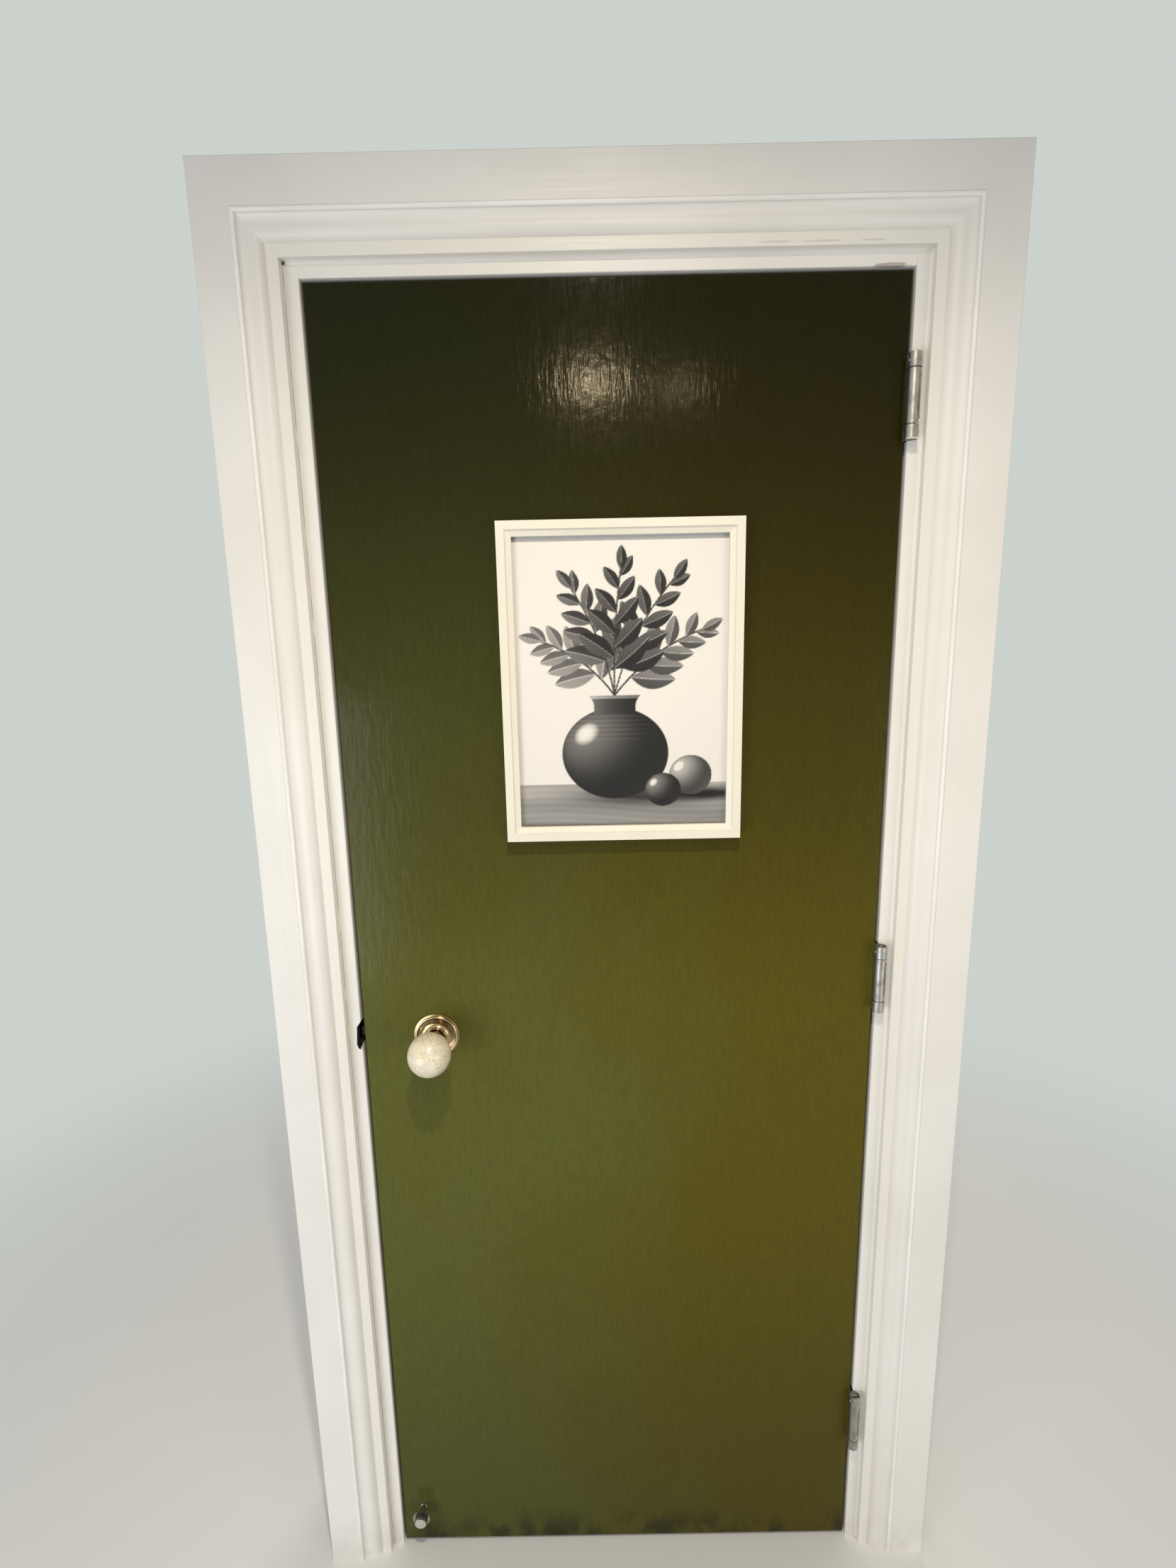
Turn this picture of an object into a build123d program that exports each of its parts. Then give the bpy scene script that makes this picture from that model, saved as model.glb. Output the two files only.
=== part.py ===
"""Flush interior door in its painted lining, with moulded architraves on both faces of the wall.

Three self-closing spring hinges carry the leaf, a tubular latch is worked by ball knobs on round
roses, a framed picture is fixed to the leaf's face, and a buffer stands near its lower corner.

Millimetres. X runs across the doorway, Y into the wall, Z up. The origin is on the floor, midway
between the jambs, in the plane of the wall's front face.
"""

import os
from math import asin, cos, radians, sin, sqrt

from build123d import *

# Leaf
LEAF_WIDTH = 762.0
LEAF_HEIGHT = 1981.0
LEAF_THICKNESS = 44.0
SKIN_THICKNESS = 3.2
STILE_WIDTH = 45.0
RAIL_HEIGHT = 95.0
LEAF_RECESS = 4.0
SIDE_GAP = 3.0
HEAD_GAP = 3.0
FLOOR_GAP = 6.0
LEAF_ARRIS = 1.0

# Lining and its stop laths
LINING_DEPTH = 133.0
LINING_THICKNESS = 32.0
HEAD_HOUSING = 12.0
STOP_LATH_THICKNESS = 12.0
STOP_LATH_WIDTH = 38.0
STOP_LATH_GAP = 0.5
LINING_ARRIS = 1.5
STOP_LATH_ARRIS = 2.0

# Architrave moulding: widths run outward from its inner edge, thicknesses out from the wall
LINING_MARGIN = 19.0
ARCHITRAVE_WIDTH = 104.0
RIPPED_WIDTH = 97.5
FILLET_WIDTH = 14.0
FILLET_THICKNESS = 12.0
QUIRK_WIDTH = 2.0
QUIRK_DEPTH = 1.5
OVOLO_WIDTH = 14.0
OVOLO_THICKNESS = 19.0
COVE_WIDTH = 13.5
COVE_THICKNESS = 21.5
BEAD_WIDTH = 6.5
BEAD_THICKNESS = 25.5
FLAT_THICKNESS = 24.0
ARRIS_RADIUS = 1.5

# Spring hinges
HINGE_LENGTH = 102.0
TOP_HINGE_DOWN = 99.0
BOTTOM_HINGE_UP = 199.0
BARREL_RADIUS = 8.5
BARREL_WALL = 1.6
BARREL_STAND_OFF = 0.5
RIM_CHAMFER = 0.4
LONG_KNUCKLE_RADIUS = 8.0
WRAP_RADIUS = 8.7
WRAP_EDGE = 5.0
WRAP_END = 5.0
WRAP_CORNER = 6.0
AXIS_PAST_JAMB = 0.5
BOTTOM_KNUCKLE = 17.0
TOP_KNUCKLE = 18.0
KNUCKLE_GAP = 0.5
PLATE_THICKNESS = 2.2
PLATE_REACH = 38.0
PLATE_CLEARANCE = 1.2
PLUG_CLEARANCE = 0.06
PLUG_RECESS = 1.0
COLLAR_RECESS = 3.0
COLLAR_SLOT_WIDTH = 2.6
COLLAR_SLOT_DEPTH = 3.5
JOURNAL_LENGTH = 5.0
SPRING_WALL = 2.0
SPRING_CLEARANCE = 0.4
TENSION_PIN_RADIUS = 2.2
TENSION_PIN_PROUD = 0.7
TENSION_PIN_DOWN = 9.0
TENSION_PIN_ANGLES = (33.0, -87.0)
PLUG_PIN_RADIUS = 1.4
PLUG_PIN_UP = 11.5
PLUG_PIN_ANGLE = -52.0
PIN_DEPTH = 3.0
HINGE_SCREW_RADIUS = 1.9
HINGE_SCREW_HEAD = 3.8
HINGE_SCREW_LENGTH = 24.0
HINGE_SCREW_ROWS = 3
HINGE_SCREW_SPACING = 35.0
HINGE_SCREW_FRONT = 14.0
HINGE_SCREW_BACK = 28.0
SCREW_CLEARANCE = 0.1

# Knob set
KNOB_HEIGHT = 963.0
BACKSET = 109.0
KNOB_RADIUS = 31.0
KNOB_STAND = 56.0
NECK_RADIUS = 12.2
NECK_WAIST_RADIUS = 11.4
NECK_SOCKET_DEPTH = 6.0
NECK_CLEARANCE = 0.3
SPINDLE_SIDE = 7.6
SPINDLE_CLEARANCE = 0.08
SPINDLE_HOLE_RADIUS = 12.0
SPINDLE_REACH = 22.0
ROSE_RADIUS = 34.0
ROSE_BASE_THICKNESS = 1.8
ROSE_RIM_RADIUS = 31.2
ROSE_RIM_HEIGHT = 6.0
ROSE_RIM_WIDTH = 2.0
ROSE_RIM_ROUND = 0.8
ROSE_BASE_BEVEL = 0.6
ROSE_DISH_HEIGHT = 3.4
ROSE_COLLAR_WALL = 2.0
ROSE_COLLAR_HEIGHT = 9.0
ROSE_COLLAR_FOOT = 1.2
ROSE_COLLAR_STEP = 3.0
ROSE_COLLAR_LIP = 0.6
ROSE_SCREW_CIRCLE = 24.5
ROSE_SCREW_ANGLES = (30.0, 150.0, 270.0)
ROSE_SCREW_RADIUS = 1.6
ROSE_SCREW_HEAD = 3.0
ROSE_SCREW_HEAD_HEIGHT = 1.9
ROSE_SCREW_LENGTH = 16.0

# Tubular latch
CASE_RADIUS = 12.4
CASE_WALL = 1.4
CASE_LENGTH = 131.0
BORE_CLEARANCE = 0.1
FACEPLATE_HEIGHT = 57.0
FACEPLATE_WIDTH = 25.0
FACEPLATE_THICKNESS = 3.0
FACEPLATE_SCREW_SPACING = 44.0
FACEPLATE_SCREW_RADIUS = 1.6
FACEPLATE_SCREW_HEAD = 3.2
FACEPLATE_SCREW_HEAD_DEPTH = 2.0
FACEPLATE_SCREW_LENGTH = 20.0
BOLT_WIDTH = 12.0
BOLT_HEIGHT = 13.0
BOLT_THROW = 8.8
BOLT_HEAD_LENGTH = 24.0
BOLT_NOSE = 2.5
BOLT_BEVEL_END = 0.6
BOLT_CLEARANCE = 0.3
KNOB_TURN = 60.0
HUB_RADIUS = 6.6
HUB_CLEARANCE = 0.08
LUG_RADIUS = 1.3
LUG_WIDTH = 5.0
LUG_ARM_WIDTH = 1.8
LUG_CLEARANCE = 0.5
TAIL_ROD_RADIUS = 3.0
CHEEK_INNER = 3.2
CHEEK_THICKNESS = 2.0
CHEEK_HALF_HEIGHT = 8.9
CHEEK_SLOT_HALF_HEIGHT = 7.0
CHEEK_END = 3.0
TAIL_BRIDGE = 4.0
LUG_BAR = 2.0
SPRING_SEAT_BEFORE_HUB = 32.0
SPRING_SEAT_THICKNESS = 2.5
LATCH_SPRING_WIRE = 1.1
LATCH_SPRING_RADIUS = 5.4
LATCH_SPRING_TURNS = 8

# Rough notch chopped in the latch jamb's front arris, where the bolt swings out
NOTCH_TOP = 989.0
NOTCH_BOTTOM = 943.0
NOTCH_UPPER_DEPTH = 6.6
NOTCH_LOWER_DEPTH = 8.4
MORTISE_HEIGHT = 34.0
MORTISE_DEPTH = 13.0
MORTISE_FRONT = 15.0
MORTISE_BACK = 36.0

# Framed picture on the leaf
PICTURE_WIDTH = 326.5
PICTURE_HEIGHT = 431.0
PICTURE_CENTRE_X = 12.0
PICTURE_CENTRE_Z = 1481.0
MOULDING_WIDTH = 19.5
MOULDING_DEPTH = 18.0
MOULDING_FLAT = 11.0
MOULDING_STEP = 2.0
SIGHT_EDGE_DEPTH = 13.0
SIGHT_LIP = 5.0
REBATE_WIDTH = 5.0
REBATE_CLEARANCE = 0.5
GLASS_THICKNESS = 2.0
PRINT_THICKNESS = 0.4
BACKING_THICKNESS = 3.0
STRIP_WIDTH = 16.0
STRIP_HEIGHT = 60.0
STRIP_INSET = 30.0

# Buffer on the leaf
BUFFER_X = -346.0
BUFFER_Z = 77.0
BUFFER_FOOT_RADIUS = 5.5
BUFFER_FOOT_HEIGHT = 1.2
BUFFER_STEM_RADIUS = 4.2
BUFFER_FLANGE_RADIUS = 14.4
BUFFER_FLANGE_HEIGHT = 20.0
BUFFER_FLANGE_RIM = 1.4
BUFFER_FLARE = 6.0
BUFFER_SPIGOT_RADIUS = 4.0
BUFFER_SPIGOT_LENGTH = 6.0
BUFFER_RING_RADIUS = 10.6
BUFFER_CAP_RADIUS = 9.4
BUFFER_CAP_THICKNESS = 2.0
BUFFER_CAP_DOME = 1.5
BUFFER_SCREW_RADIUS = 2.4
BUFFER_SCREW_LENGTH = 20.0

# Planes and edges worked out from the driving sizes
LEAF_HALF = LEAF_WIDTH / 2
LEAF_FRONT = LEAF_RECESS
LEAF_BACK = LEAF_FRONT + LEAF_THICKNESS
LEAF_MIDDLE = (LEAF_FRONT + LEAF_BACK) / 2
LEAF_BOTTOM = FLOOR_GAP
LEAF_TOP = LEAF_BOTTOM + LEAF_HEIGHT
JAMB_FACE = LEAF_HALF + SIDE_GAP
JAMB_BACK = JAMB_FACE + LINING_THICKNESS
HEAD_FACE = LEAF_TOP + HEAD_GAP
HEAD_BACK = HEAD_FACE + LINING_THICKNESS
MOULDING_X = JAMB_FACE + LINING_MARGIN
MOULDING_Z = HEAD_FACE + LINING_MARGIN
STOP_LATH_FRONT = LEAF_BACK + STOP_LATH_GAP
STOP_LATH_BACK = STOP_LATH_FRONT + STOP_LATH_WIDTH
HINGE_X = JAMB_FACE + AXIS_PAST_JAMB
HINGE_Y = -BARREL_RADIUS - BARREL_STAND_OFF
BORE_RADIUS = BARREL_RADIUS - BARREL_WALL
SPINDLE_X = -LEAF_HALF + BACKSET
LUG_ARM = BOLT_THROW / (2 * sin(radians(KNOB_TURN / 2)))
NECK_TOP = KNOB_STAND - KNOB_RADIUS + NECK_SOCKET_DEPTH
SPRING_SEAT_AT = BACKSET - HUB_RADIUS - BOLT_THROW - SPRING_SEAT_BEFORE_HUB

TOP_HINGE_BASE = LEAF_TOP - TOP_HINGE_DOWN - HINGE_LENGTH
BOTTOM_HINGE_BASE = LEAF_BOTTOM + BOTTOM_HINGE_UP
HINGE_BASES = {
    "top": TOP_HINGE_BASE,
    "middle": (TOP_HINGE_BASE + BOTTOM_HINGE_BASE) / 2,
    "bottom": BOTTOM_HINGE_BASE,
}


def block(x_span, y_span, z_span):
    """A box between a low and a high value on each axis."""
    spans = (x_span, y_span, z_span)
    sizes = [high - low for low, high in spans]
    centre = [(high + low) / 2 for low, high in spans]
    return Pos(*centre) * Box(*sizes)


def rod(axis, radius, centre, span):
    """A cylinder along an axis, at the other two coordinates in centre, over a low and high value."""
    turn = {"x": Rot(0, 90, 0), "y": Rot(90, 0, 0), "z": Rot(0, 0, 0)}[axis]
    middle = (span[0] + span[1]) / 2
    place = {
        "x": (middle, centre[0], centre[1]),
        "y": (centre[0], middle, centre[1]),
        "z": (centre[0], centre[1], middle),
    }[axis]
    return Pos(*place) * turn * Cylinder(radius, span[1] - span[0])


def bow(start, end, rise):
    """An arc from start to end whose middle stands off the chord, to its left where rise is positive."""
    across, up = end[0] - start[0], end[1] - start[1]
    chord = sqrt(across * across + up * up)
    middle = ((start[0] + end[0]) / 2 - up / chord * rise, (start[1] + end[1]) / 2 + across / chord * rise)
    return ThreePointArc(start, middle, end)


def eased(solid, radius, y_planes, *places):
    """Rounds a solid's long edges in the planes y = y_planes that also lie in other planes.

    Each place is (axis, value): the plane x = value or z = value that the edge shares.
    """
    edges = []
    for edge in solid.edges():
        box = edge.bounding_box()
        for axis, value in places:
            low, high = (box.min.X, box.max.X) if axis == "x" else (box.min.Z, box.max.Z)
            on_plane = abs(low - value) < 0.01 and abs(high - value) < 0.01
            if on_plane and any(abs(box.min.Y - y) + abs(box.max.Y - y) < 0.01 for y in y_planes):
                edges.append(edge)
    return fillet(edges, radius)


def turned(outline, x, face_y, z, facing):
    """A solid turned about the line through (x, z) along Y.

    The outline's points are (radius, height), with height counted out from the plane y = face_y.
    facing is -1 for a piece on the front of the leaf and 1 for one on its back.
    """
    plane = Plane(origin=(x, face_y, z), x_dir=(1, 0, 0), z_dir=(0, 0, facing))
    sketch = plane * make_face(outline)
    return revolve(sketch, Axis((x, face_y, z), (0, 1, 0)))


# Lining


def hinge_plate_pocket(base, wood_side):
    """The rebate that seats a hinge plate in the jamb (wood_side 1) or in the leaf's edge (-1)."""
    face = JAMB_FACE if wood_side > 0 else LEAF_HALF
    front = 0.0 if wood_side > 0 else LEAF_FRONT
    x_span = sorted((face, face + wood_side * PLATE_THICKNESS))
    return block(x_span, (front, PLATE_REACH), (base, base + HINGE_LENGTH))


def hinge_screw_places(base):
    """The (y, z) places of one plate's screws, staggered front and back."""
    middle = base + HINGE_LENGTH / 2
    places = []
    for row in range(HINGE_SCREW_ROWS):
        z = middle + (row - (HINGE_SCREW_ROWS - 1) / 2) * HINGE_SCREW_SPACING
        places.append((HINGE_SCREW_BACK if row % 2 else HINGE_SCREW_FRONT, z))
    return places


def hinge_screw(y, z, wood_side, clearance=0.0):
    """A countersunk screw through a hinge plate, or with a clearance the hole that it needs."""
    face = JAMB_FACE if wood_side > 0 else LEAF_HALF
    head = HINGE_SCREW_HEAD + clearance
    shank = HINGE_SCREW_RADIUS + clearance
    cone = Cone(head, shank, PLATE_THICKNESS, align=(Align.CENTER, Align.CENTER, Align.MIN))
    body = Cylinder(shank, HINGE_SCREW_LENGTH + clearance, align=(Align.CENTER, Align.CENTER, Align.MIN))
    return Pos(face, y, z) * Rot(0, 90 * wood_side, 0) * (cone + body)


def all_hinge_screws(wood_side, clearance=0.0):
    """Every screw on one side of the three hinges."""
    places = [place for base in HINGE_BASES.values() for place in hinge_screw_places(base)]
    return [hinge_screw(y, z, wood_side, clearance) for y, z in places]


def hinge_jamb():
    """The jamb that the hinges are let into."""
    jamb = block((JAMB_FACE, JAMB_BACK), (0, LINING_DEPTH), (0, HEAD_FACE + HEAD_HOUSING))
    jamb = eased(jamb, LINING_ARRIS, (0, LINING_DEPTH), ("x", JAMB_FACE))
    for base in HINGE_BASES.values():
        jamb -= hinge_plate_pocket(base, 1)
    for hole in all_hinge_screws(1, SCREW_CLEARANCE):
        jamb -= hole
    return jamb


def notch_cut():
    """The rough notch through the jamb's arris and the mortise behind it."""
    span = NOTCH_TOP - NOTCH_BOTTOM
    outline = Polyline(
        (-JAMB_FACE + 1, NOTCH_TOP),
        (-JAMB_FACE, NOTCH_TOP),
        (-JAMB_FACE - NOTCH_UPPER_DEPTH * 0.85, NOTCH_TOP - span * 0.17),
        (-JAMB_FACE - NOTCH_UPPER_DEPTH, NOTCH_TOP - span * 0.21),
        (-JAMB_FACE - NOTCH_LOWER_DEPTH, NOTCH_BOTTOM + span * 0.17),
        (-JAMB_FACE - NOTCH_LOWER_DEPTH * 0.75, NOTCH_BOTTOM + span * 0.04),
        (-JAMB_FACE - NOTCH_LOWER_DEPTH * 0.4, NOTCH_BOTTOM),
        (-JAMB_FACE, NOTCH_BOTTOM + span * 0.2),
        (-JAMB_FACE + 1, NOTCH_BOTTOM + span * 0.2),
        close=True,
    )
    face = Plane(origin=(0, 0, 0), x_dir=(1, 0, 0), z_dir=(0, -1, 0)) * make_face(outline)
    notch = extrude(face, amount=-MORTISE_BACK)
    mortise = block(
        (-JAMB_FACE - MORTISE_DEPTH, -JAMB_FACE + 1),
        (MORTISE_FRONT, MORTISE_BACK),
        (KNOB_HEIGHT - MORTISE_HEIGHT / 2, KNOB_HEIGHT + MORTISE_HEIGHT / 2),
    )
    return notch + mortise


def latch_jamb():
    """The jamb on the latch side, with the notch that lets the bolt in and out."""
    jamb = block((-JAMB_BACK, -JAMB_FACE), (0, LINING_DEPTH), (0, HEAD_FACE + HEAD_HOUSING))
    return eased(jamb, LINING_ARRIS, (0, LINING_DEPTH), ("x", -JAMB_FACE)) - notch_cut()


def head_jamb():
    """The head of the lining, housed over the tops of both jambs."""
    head = block((-JAMB_BACK, JAMB_BACK), (0, LINING_DEPTH), (HEAD_FACE, HEAD_BACK))
    head = eased(head, LINING_ARRIS, (0, LINING_DEPTH), ("z", HEAD_FACE))
    for side in (-1, 1):
        x_span = sorted((side * JAMB_FACE, side * JAMB_BACK))
        head -= block(x_span, (0, LINING_DEPTH), (HEAD_FACE, HEAD_FACE + HEAD_HOUSING))
    return head


def side_stop(side):
    """The lath that the leaf closes against, on one jamb."""
    inner = JAMB_FACE - STOP_LATH_THICKNESS
    x_span = sorted((side * JAMB_FACE, side * inner))
    lath = block(x_span, (STOP_LATH_FRONT, STOP_LATH_BACK), (0, HEAD_FACE))
    return eased(lath, STOP_LATH_ARRIS, (STOP_LATH_FRONT, STOP_LATH_BACK), ("x", side * inner))


def head_stop():
    """The lath under the head, between the two side laths."""
    half = JAMB_FACE - STOP_LATH_THICKNESS
    under = HEAD_FACE - STOP_LATH_THICKNESS
    lath = block((-half, half), (STOP_LATH_FRONT, STOP_LATH_BACK), (under, HEAD_FACE))
    return eased(lath, STOP_LATH_ARRIS, (STOP_LATH_FRONT, STOP_LATH_BACK), ("z", under))


# Architraves


def moulding_outline(width):
    """The architrave's section: fillet, quirk, ovolo, cove, bead and flat, from its inner edge outward."""
    ovolo_start = FILLET_WIDTH + QUIRK_WIDTH
    ovolo_end = ovolo_start + OVOLO_WIDTH
    cove_end = ovolo_end + COVE_WIDTH
    bead_top = cove_end + BEAD_WIDTH * 0.46
    bead_end = cove_end + BEAD_WIDTH
    quirk_floor = FILLET_THICKNESS - QUIRK_DEPTH
    outer = width - ARRIS_RADIUS
    return [
        Line((0, 0), (0, FILLET_THICKNESS - ARRIS_RADIUS)),
        bow((0, FILLET_THICKNESS - ARRIS_RADIUS), (ARRIS_RADIUS, FILLET_THICKNESS), ARRIS_RADIUS * 0.29),
        Line((ARRIS_RADIUS, FILLET_THICKNESS), (FILLET_WIDTH, FILLET_THICKNESS)),
        Line((FILLET_WIDTH, FILLET_THICKNESS), (FILLET_WIDTH, quirk_floor)),
        Line((FILLET_WIDTH, quirk_floor), (ovolo_start, quirk_floor)),
        bow((ovolo_start, quirk_floor), (ovolo_end, OVOLO_THICKNESS), 2.8),
        bow((ovolo_end, OVOLO_THICKNESS), (cove_end, COVE_THICKNESS), -1.6),
        bow((cove_end, COVE_THICKNESS), (bead_top, BEAD_THICKNESS), 1.0),
        bow((bead_top, BEAD_THICKNESS), (bead_end, FLAT_THICKNESS), 0.7),
        Line((bead_end, FLAT_THICKNESS), (outer, FLAT_THICKNESS)),
        bow((outer, FLAT_THICKNESS), (width, FLAT_THICKNESS - ARRIS_RADIUS), ARRIS_RADIUS * 0.29),
        Line((width, FLAT_THICKNESS - ARRIS_RADIUS), (width, 0)),
        Line((width, 0), (0, 0)),
    ]


def mitre_plane(side):
    """The 45 degree plane of a mitre, with its normal pointing up to the head's piece."""
    return Plane(origin=(side * MOULDING_X, 0, MOULDING_Z), x_dir=(0, 1, 0), z_dir=(-side, 0, 1))


def architrave_leg(side, width, front):
    """An upright architrave; side is 1 by the hinges, front tells which face of the wall."""
    sketch = make_face(moulding_outline(width))
    length = MOULDING_Z + ARCHITRAVE_WIDTH
    wall_y = 0.0 if front else LINING_DEPTH
    outward = -1 if front else 1
    plane = Plane(origin=(side * MOULDING_X, wall_y, 0), x_dir=(side, 0, 0), z_dir=(0, 0, side * outward))
    leg = extrude(plane * sketch, amount=length * side * outward)
    return split(leg, bisect_by=mitre_plane(side), keep=Keep.BOTTOM)


def architrave_head(left_width, front):
    """The architrave across the head, mitred at both ends and trimmed flush over a narrower left leg."""
    sketch = make_face(moulding_outline(ARCHITRAVE_WIDTH))
    reach = MOULDING_X + ARCHITRAVE_WIDTH
    wall_y = 0.0 if front else LINING_DEPTH
    outward = -1 if front else 1
    plane = Plane(origin=(0, wall_y, MOULDING_Z), x_dir=(0, 0, 1), z_dir=(-outward, 0, 0))
    head = extrude(plane * sketch, amount=reach, both=True)
    for side in (-1, 1):
        head = split(head, bisect_by=mitre_plane(side), keep=Keep.TOP)
    trim = Plane(origin=(-MOULDING_X - left_width, 0, 0), x_dir=(0, 1, 0), z_dir=(1, 0, 0))
    return split(head, bisect_by=trim, keep=Keep.TOP)


# Leaf


def latch_bore():
    """Everything that the latch, its faceplate and its screws take out of the leaf."""
    edge = -LEAF_HALF
    bore = rod("x", CASE_RADIUS + BORE_CLEARANCE, (LEAF_MIDDLE, KNOB_HEIGHT), (edge - 1, edge + CASE_LENGTH))
    seat = block(
        (edge - 1, edge + FACEPLATE_THICKNESS),
        (LEAF_MIDDLE - FACEPLATE_WIDTH / 2, LEAF_MIDDLE + FACEPLATE_WIDTH / 2),
        (KNOB_HEIGHT - FACEPLATE_HEIGHT / 2, KNOB_HEIGHT + FACEPLATE_HEIGHT / 2),
    )
    cut = bore + seat
    for screw in latch_screws(SCREW_CLEARANCE):
        cut += screw
    return cut


def spindle_bore():
    """The hole through the leaf for the knobs' spindle."""
    return rod("y", SPINDLE_HOLE_RADIUS, (SPINDLE_X, KNOB_HEIGHT), (LEAF_FRONT - 1, LEAF_BACK + 1))


def leaf_skin(front):
    """One face sheet, with the holes behind its rose and the cuts for the hinge plates."""
    y_span = (LEAF_FRONT, LEAF_FRONT + SKIN_THICKNESS) if front else (LEAF_BACK - SKIN_THICKNESS, LEAF_BACK)
    outer_face = LEAF_FRONT if front else LEAF_BACK
    skin = block((-LEAF_HALF, LEAF_HALF), y_span, (LEAF_BOTTOM, LEAF_TOP))
    skin = eased(skin, LEAF_ARRIS, (outer_face,), ("x", -LEAF_HALF), ("x", LEAF_HALF), ("z", LEAF_BOTTOM),
                 ("z", LEAF_TOP))
    skin -= spindle_bore()
    for hole in rose_screws(front, SCREW_CLEARANCE):
        skin -= hole
    if front:
        skin -= buffer_screw(SCREW_CLEARANCE)
        for base in HINGE_BASES.values():
            skin -= hinge_plate_pocket(base, -1)
    return skin


def leaf_inside(x_span, z_span):
    """A member of the leaf between its two skins."""
    return block(x_span, (LEAF_FRONT + SKIN_THICKNESS, LEAF_BACK - SKIN_THICKNESS), z_span)


def leaf_core():
    """The core, bored for the latch, the spindle and the roses' screws."""
    half = LEAF_HALF - STILE_WIDTH
    core = leaf_inside((-half, half), (LEAF_BOTTOM + RAIL_HEIGHT, LEAF_TOP - RAIL_HEIGHT))
    core -= latch_bore()
    core -= spindle_bore()
    for front in (True, False):
        for hole in rose_screws(front, SCREW_CLEARANCE):
            core -= hole
    return core


def leaf_lock_stile():
    """The stile on the latch side, with the latch's bore and faceplate seat."""
    stile = leaf_inside((-LEAF_HALF, -LEAF_HALF + STILE_WIDTH), (LEAF_BOTTOM, LEAF_TOP))
    return stile - latch_bore() - buffer_screw(SCREW_CLEARANCE)


def leaf_hinge_stile():
    """The stile that the hinge plates are let into and screwed to."""
    stile = leaf_inside((LEAF_HALF - STILE_WIDTH, LEAF_HALF), (LEAF_BOTTOM, LEAF_TOP))
    for base in HINGE_BASES.values():
        stile -= hinge_plate_pocket(base, -1)
    for hole in all_hinge_screws(-1, SCREW_CLEARANCE):
        stile -= hole
    return stile


def leaf_rail(base):
    """A rail between the stiles."""
    half = LEAF_HALF - STILE_WIDTH
    return leaf_inside((-half, half), (base, base + RAIL_HEIGHT))


# Spring hinges


def barrel_rod(radius, base, low, high):
    """A cylinder on the hinge's axis, between two heights above the hinge's base."""
    return rod("z", radius, (HINGE_X, HINGE_Y), (base + low, base + high))


def knuckle(radius, base, low, high):
    """A stretch of the hinge's barrel with chamfered rims, open through its middle."""
    tube = barrel_rod(radius, base, low, high)
    tube = chamfer(tube.edges().filter_by(GeomType.CIRCLE), RIM_CHAMFER)
    return tube - barrel_rod(BORE_RADIUS, base, low - 1, high + 1)


def knuckle_wrap(base, low, high):
    """The free end of the leaf's sheet, lapped round the jamb side of the long knuckle.

    Its edge shows on the front of the barrel and has its two corners cut off.
    """
    low, high = base + low + WRAP_END, base + high - WRAP_END
    outline = Polyline(
        (HINGE_X + WRAP_EDGE, low + WRAP_CORNER),
        (HINGE_X + WRAP_RADIUS + 1, low),
        (HINGE_X + WRAP_RADIUS + 1, high),
        (HINGE_X + WRAP_EDGE, high - WRAP_CORNER),
        close=True,
    )
    plane = Plane(origin=(0, HINGE_Y, 0), x_dir=(1, 0, 0), z_dir=(0, -1, 0))
    reach = extrude(plane * make_face(outline), amount=WRAP_RADIUS + 1, both=True)
    centre = (HINGE_X, HINGE_Y)
    wall_middle = (LONG_KNUCKLE_RADIUS + BORE_RADIUS) / 2
    return (rod("z", WRAP_RADIUS, centre, (low, high)) - rod("z", wall_middle, centre, (low, high))) & reach


def hinge_plate(base, wood_side, joined):
    """A hinge's flat plate: joined gives the stretches of height where it runs into the barrel."""
    face = JAMB_FACE if wood_side > 0 else LEAF_HALF
    x_span = sorted((face, face + wood_side * PLATE_THICKNESS))
    plate = block(x_span, (PLATE_CLEARANCE, PLATE_REACH), (base, base + HINGE_LENGTH))
    far_side = max(abs(x - HINGE_X) for x in x_span)
    outside = BARREL_RADIUS if wood_side > 0 else LONG_KNUCKLE_RADIUS
    wall_middle = (outside + BORE_RADIUS) / 2
    root = HINGE_Y + sqrt(wall_middle**2 - far_side**2)
    for low, high in joined:
        plate += block(x_span, (root, PLATE_CLEARANCE), (base + low, base + high))
    return plate


def radial_pin(radius, inner, outer, z, angle):
    """A pin pointing out from the hinge's axis; angle 0 points to the front, and turns towards +X."""
    pin = Cylinder(radius, outer - inner, align=(Align.CENTER, Align.CENTER, Align.MIN))
    return Pos(HINGE_X, HINGE_Y, z) * Rot(0, 0, angle) * Rot(90, 0, 0) * Pos(0, 0, inner) * pin


def tension_pins(base):
    """The stubs that lock the tension collar in the top knuckle."""
    inner = BORE_RADIUS - PIN_DEPTH
    outer = BARREL_RADIUS + TENSION_PIN_PROUD
    z = base + HINGE_LENGTH - TENSION_PIN_DOWN
    return [radial_pin(TENSION_PIN_RADIUS, inner, outer, z, angle) for angle in TENSION_PIN_ANGLES]


def plug_pin(base):
    """The pin that fixes the pivot plug in the bottom knuckle, sunk below the barrel's surface."""
    outer = BARREL_RADIUS - BARREL_WALL / 2
    return radial_pin(PLUG_PIN_RADIUS, BORE_RADIUS - PIN_DEPTH, outer, base + PLUG_PIN_UP, PLUG_PIN_ANGLE)


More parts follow.
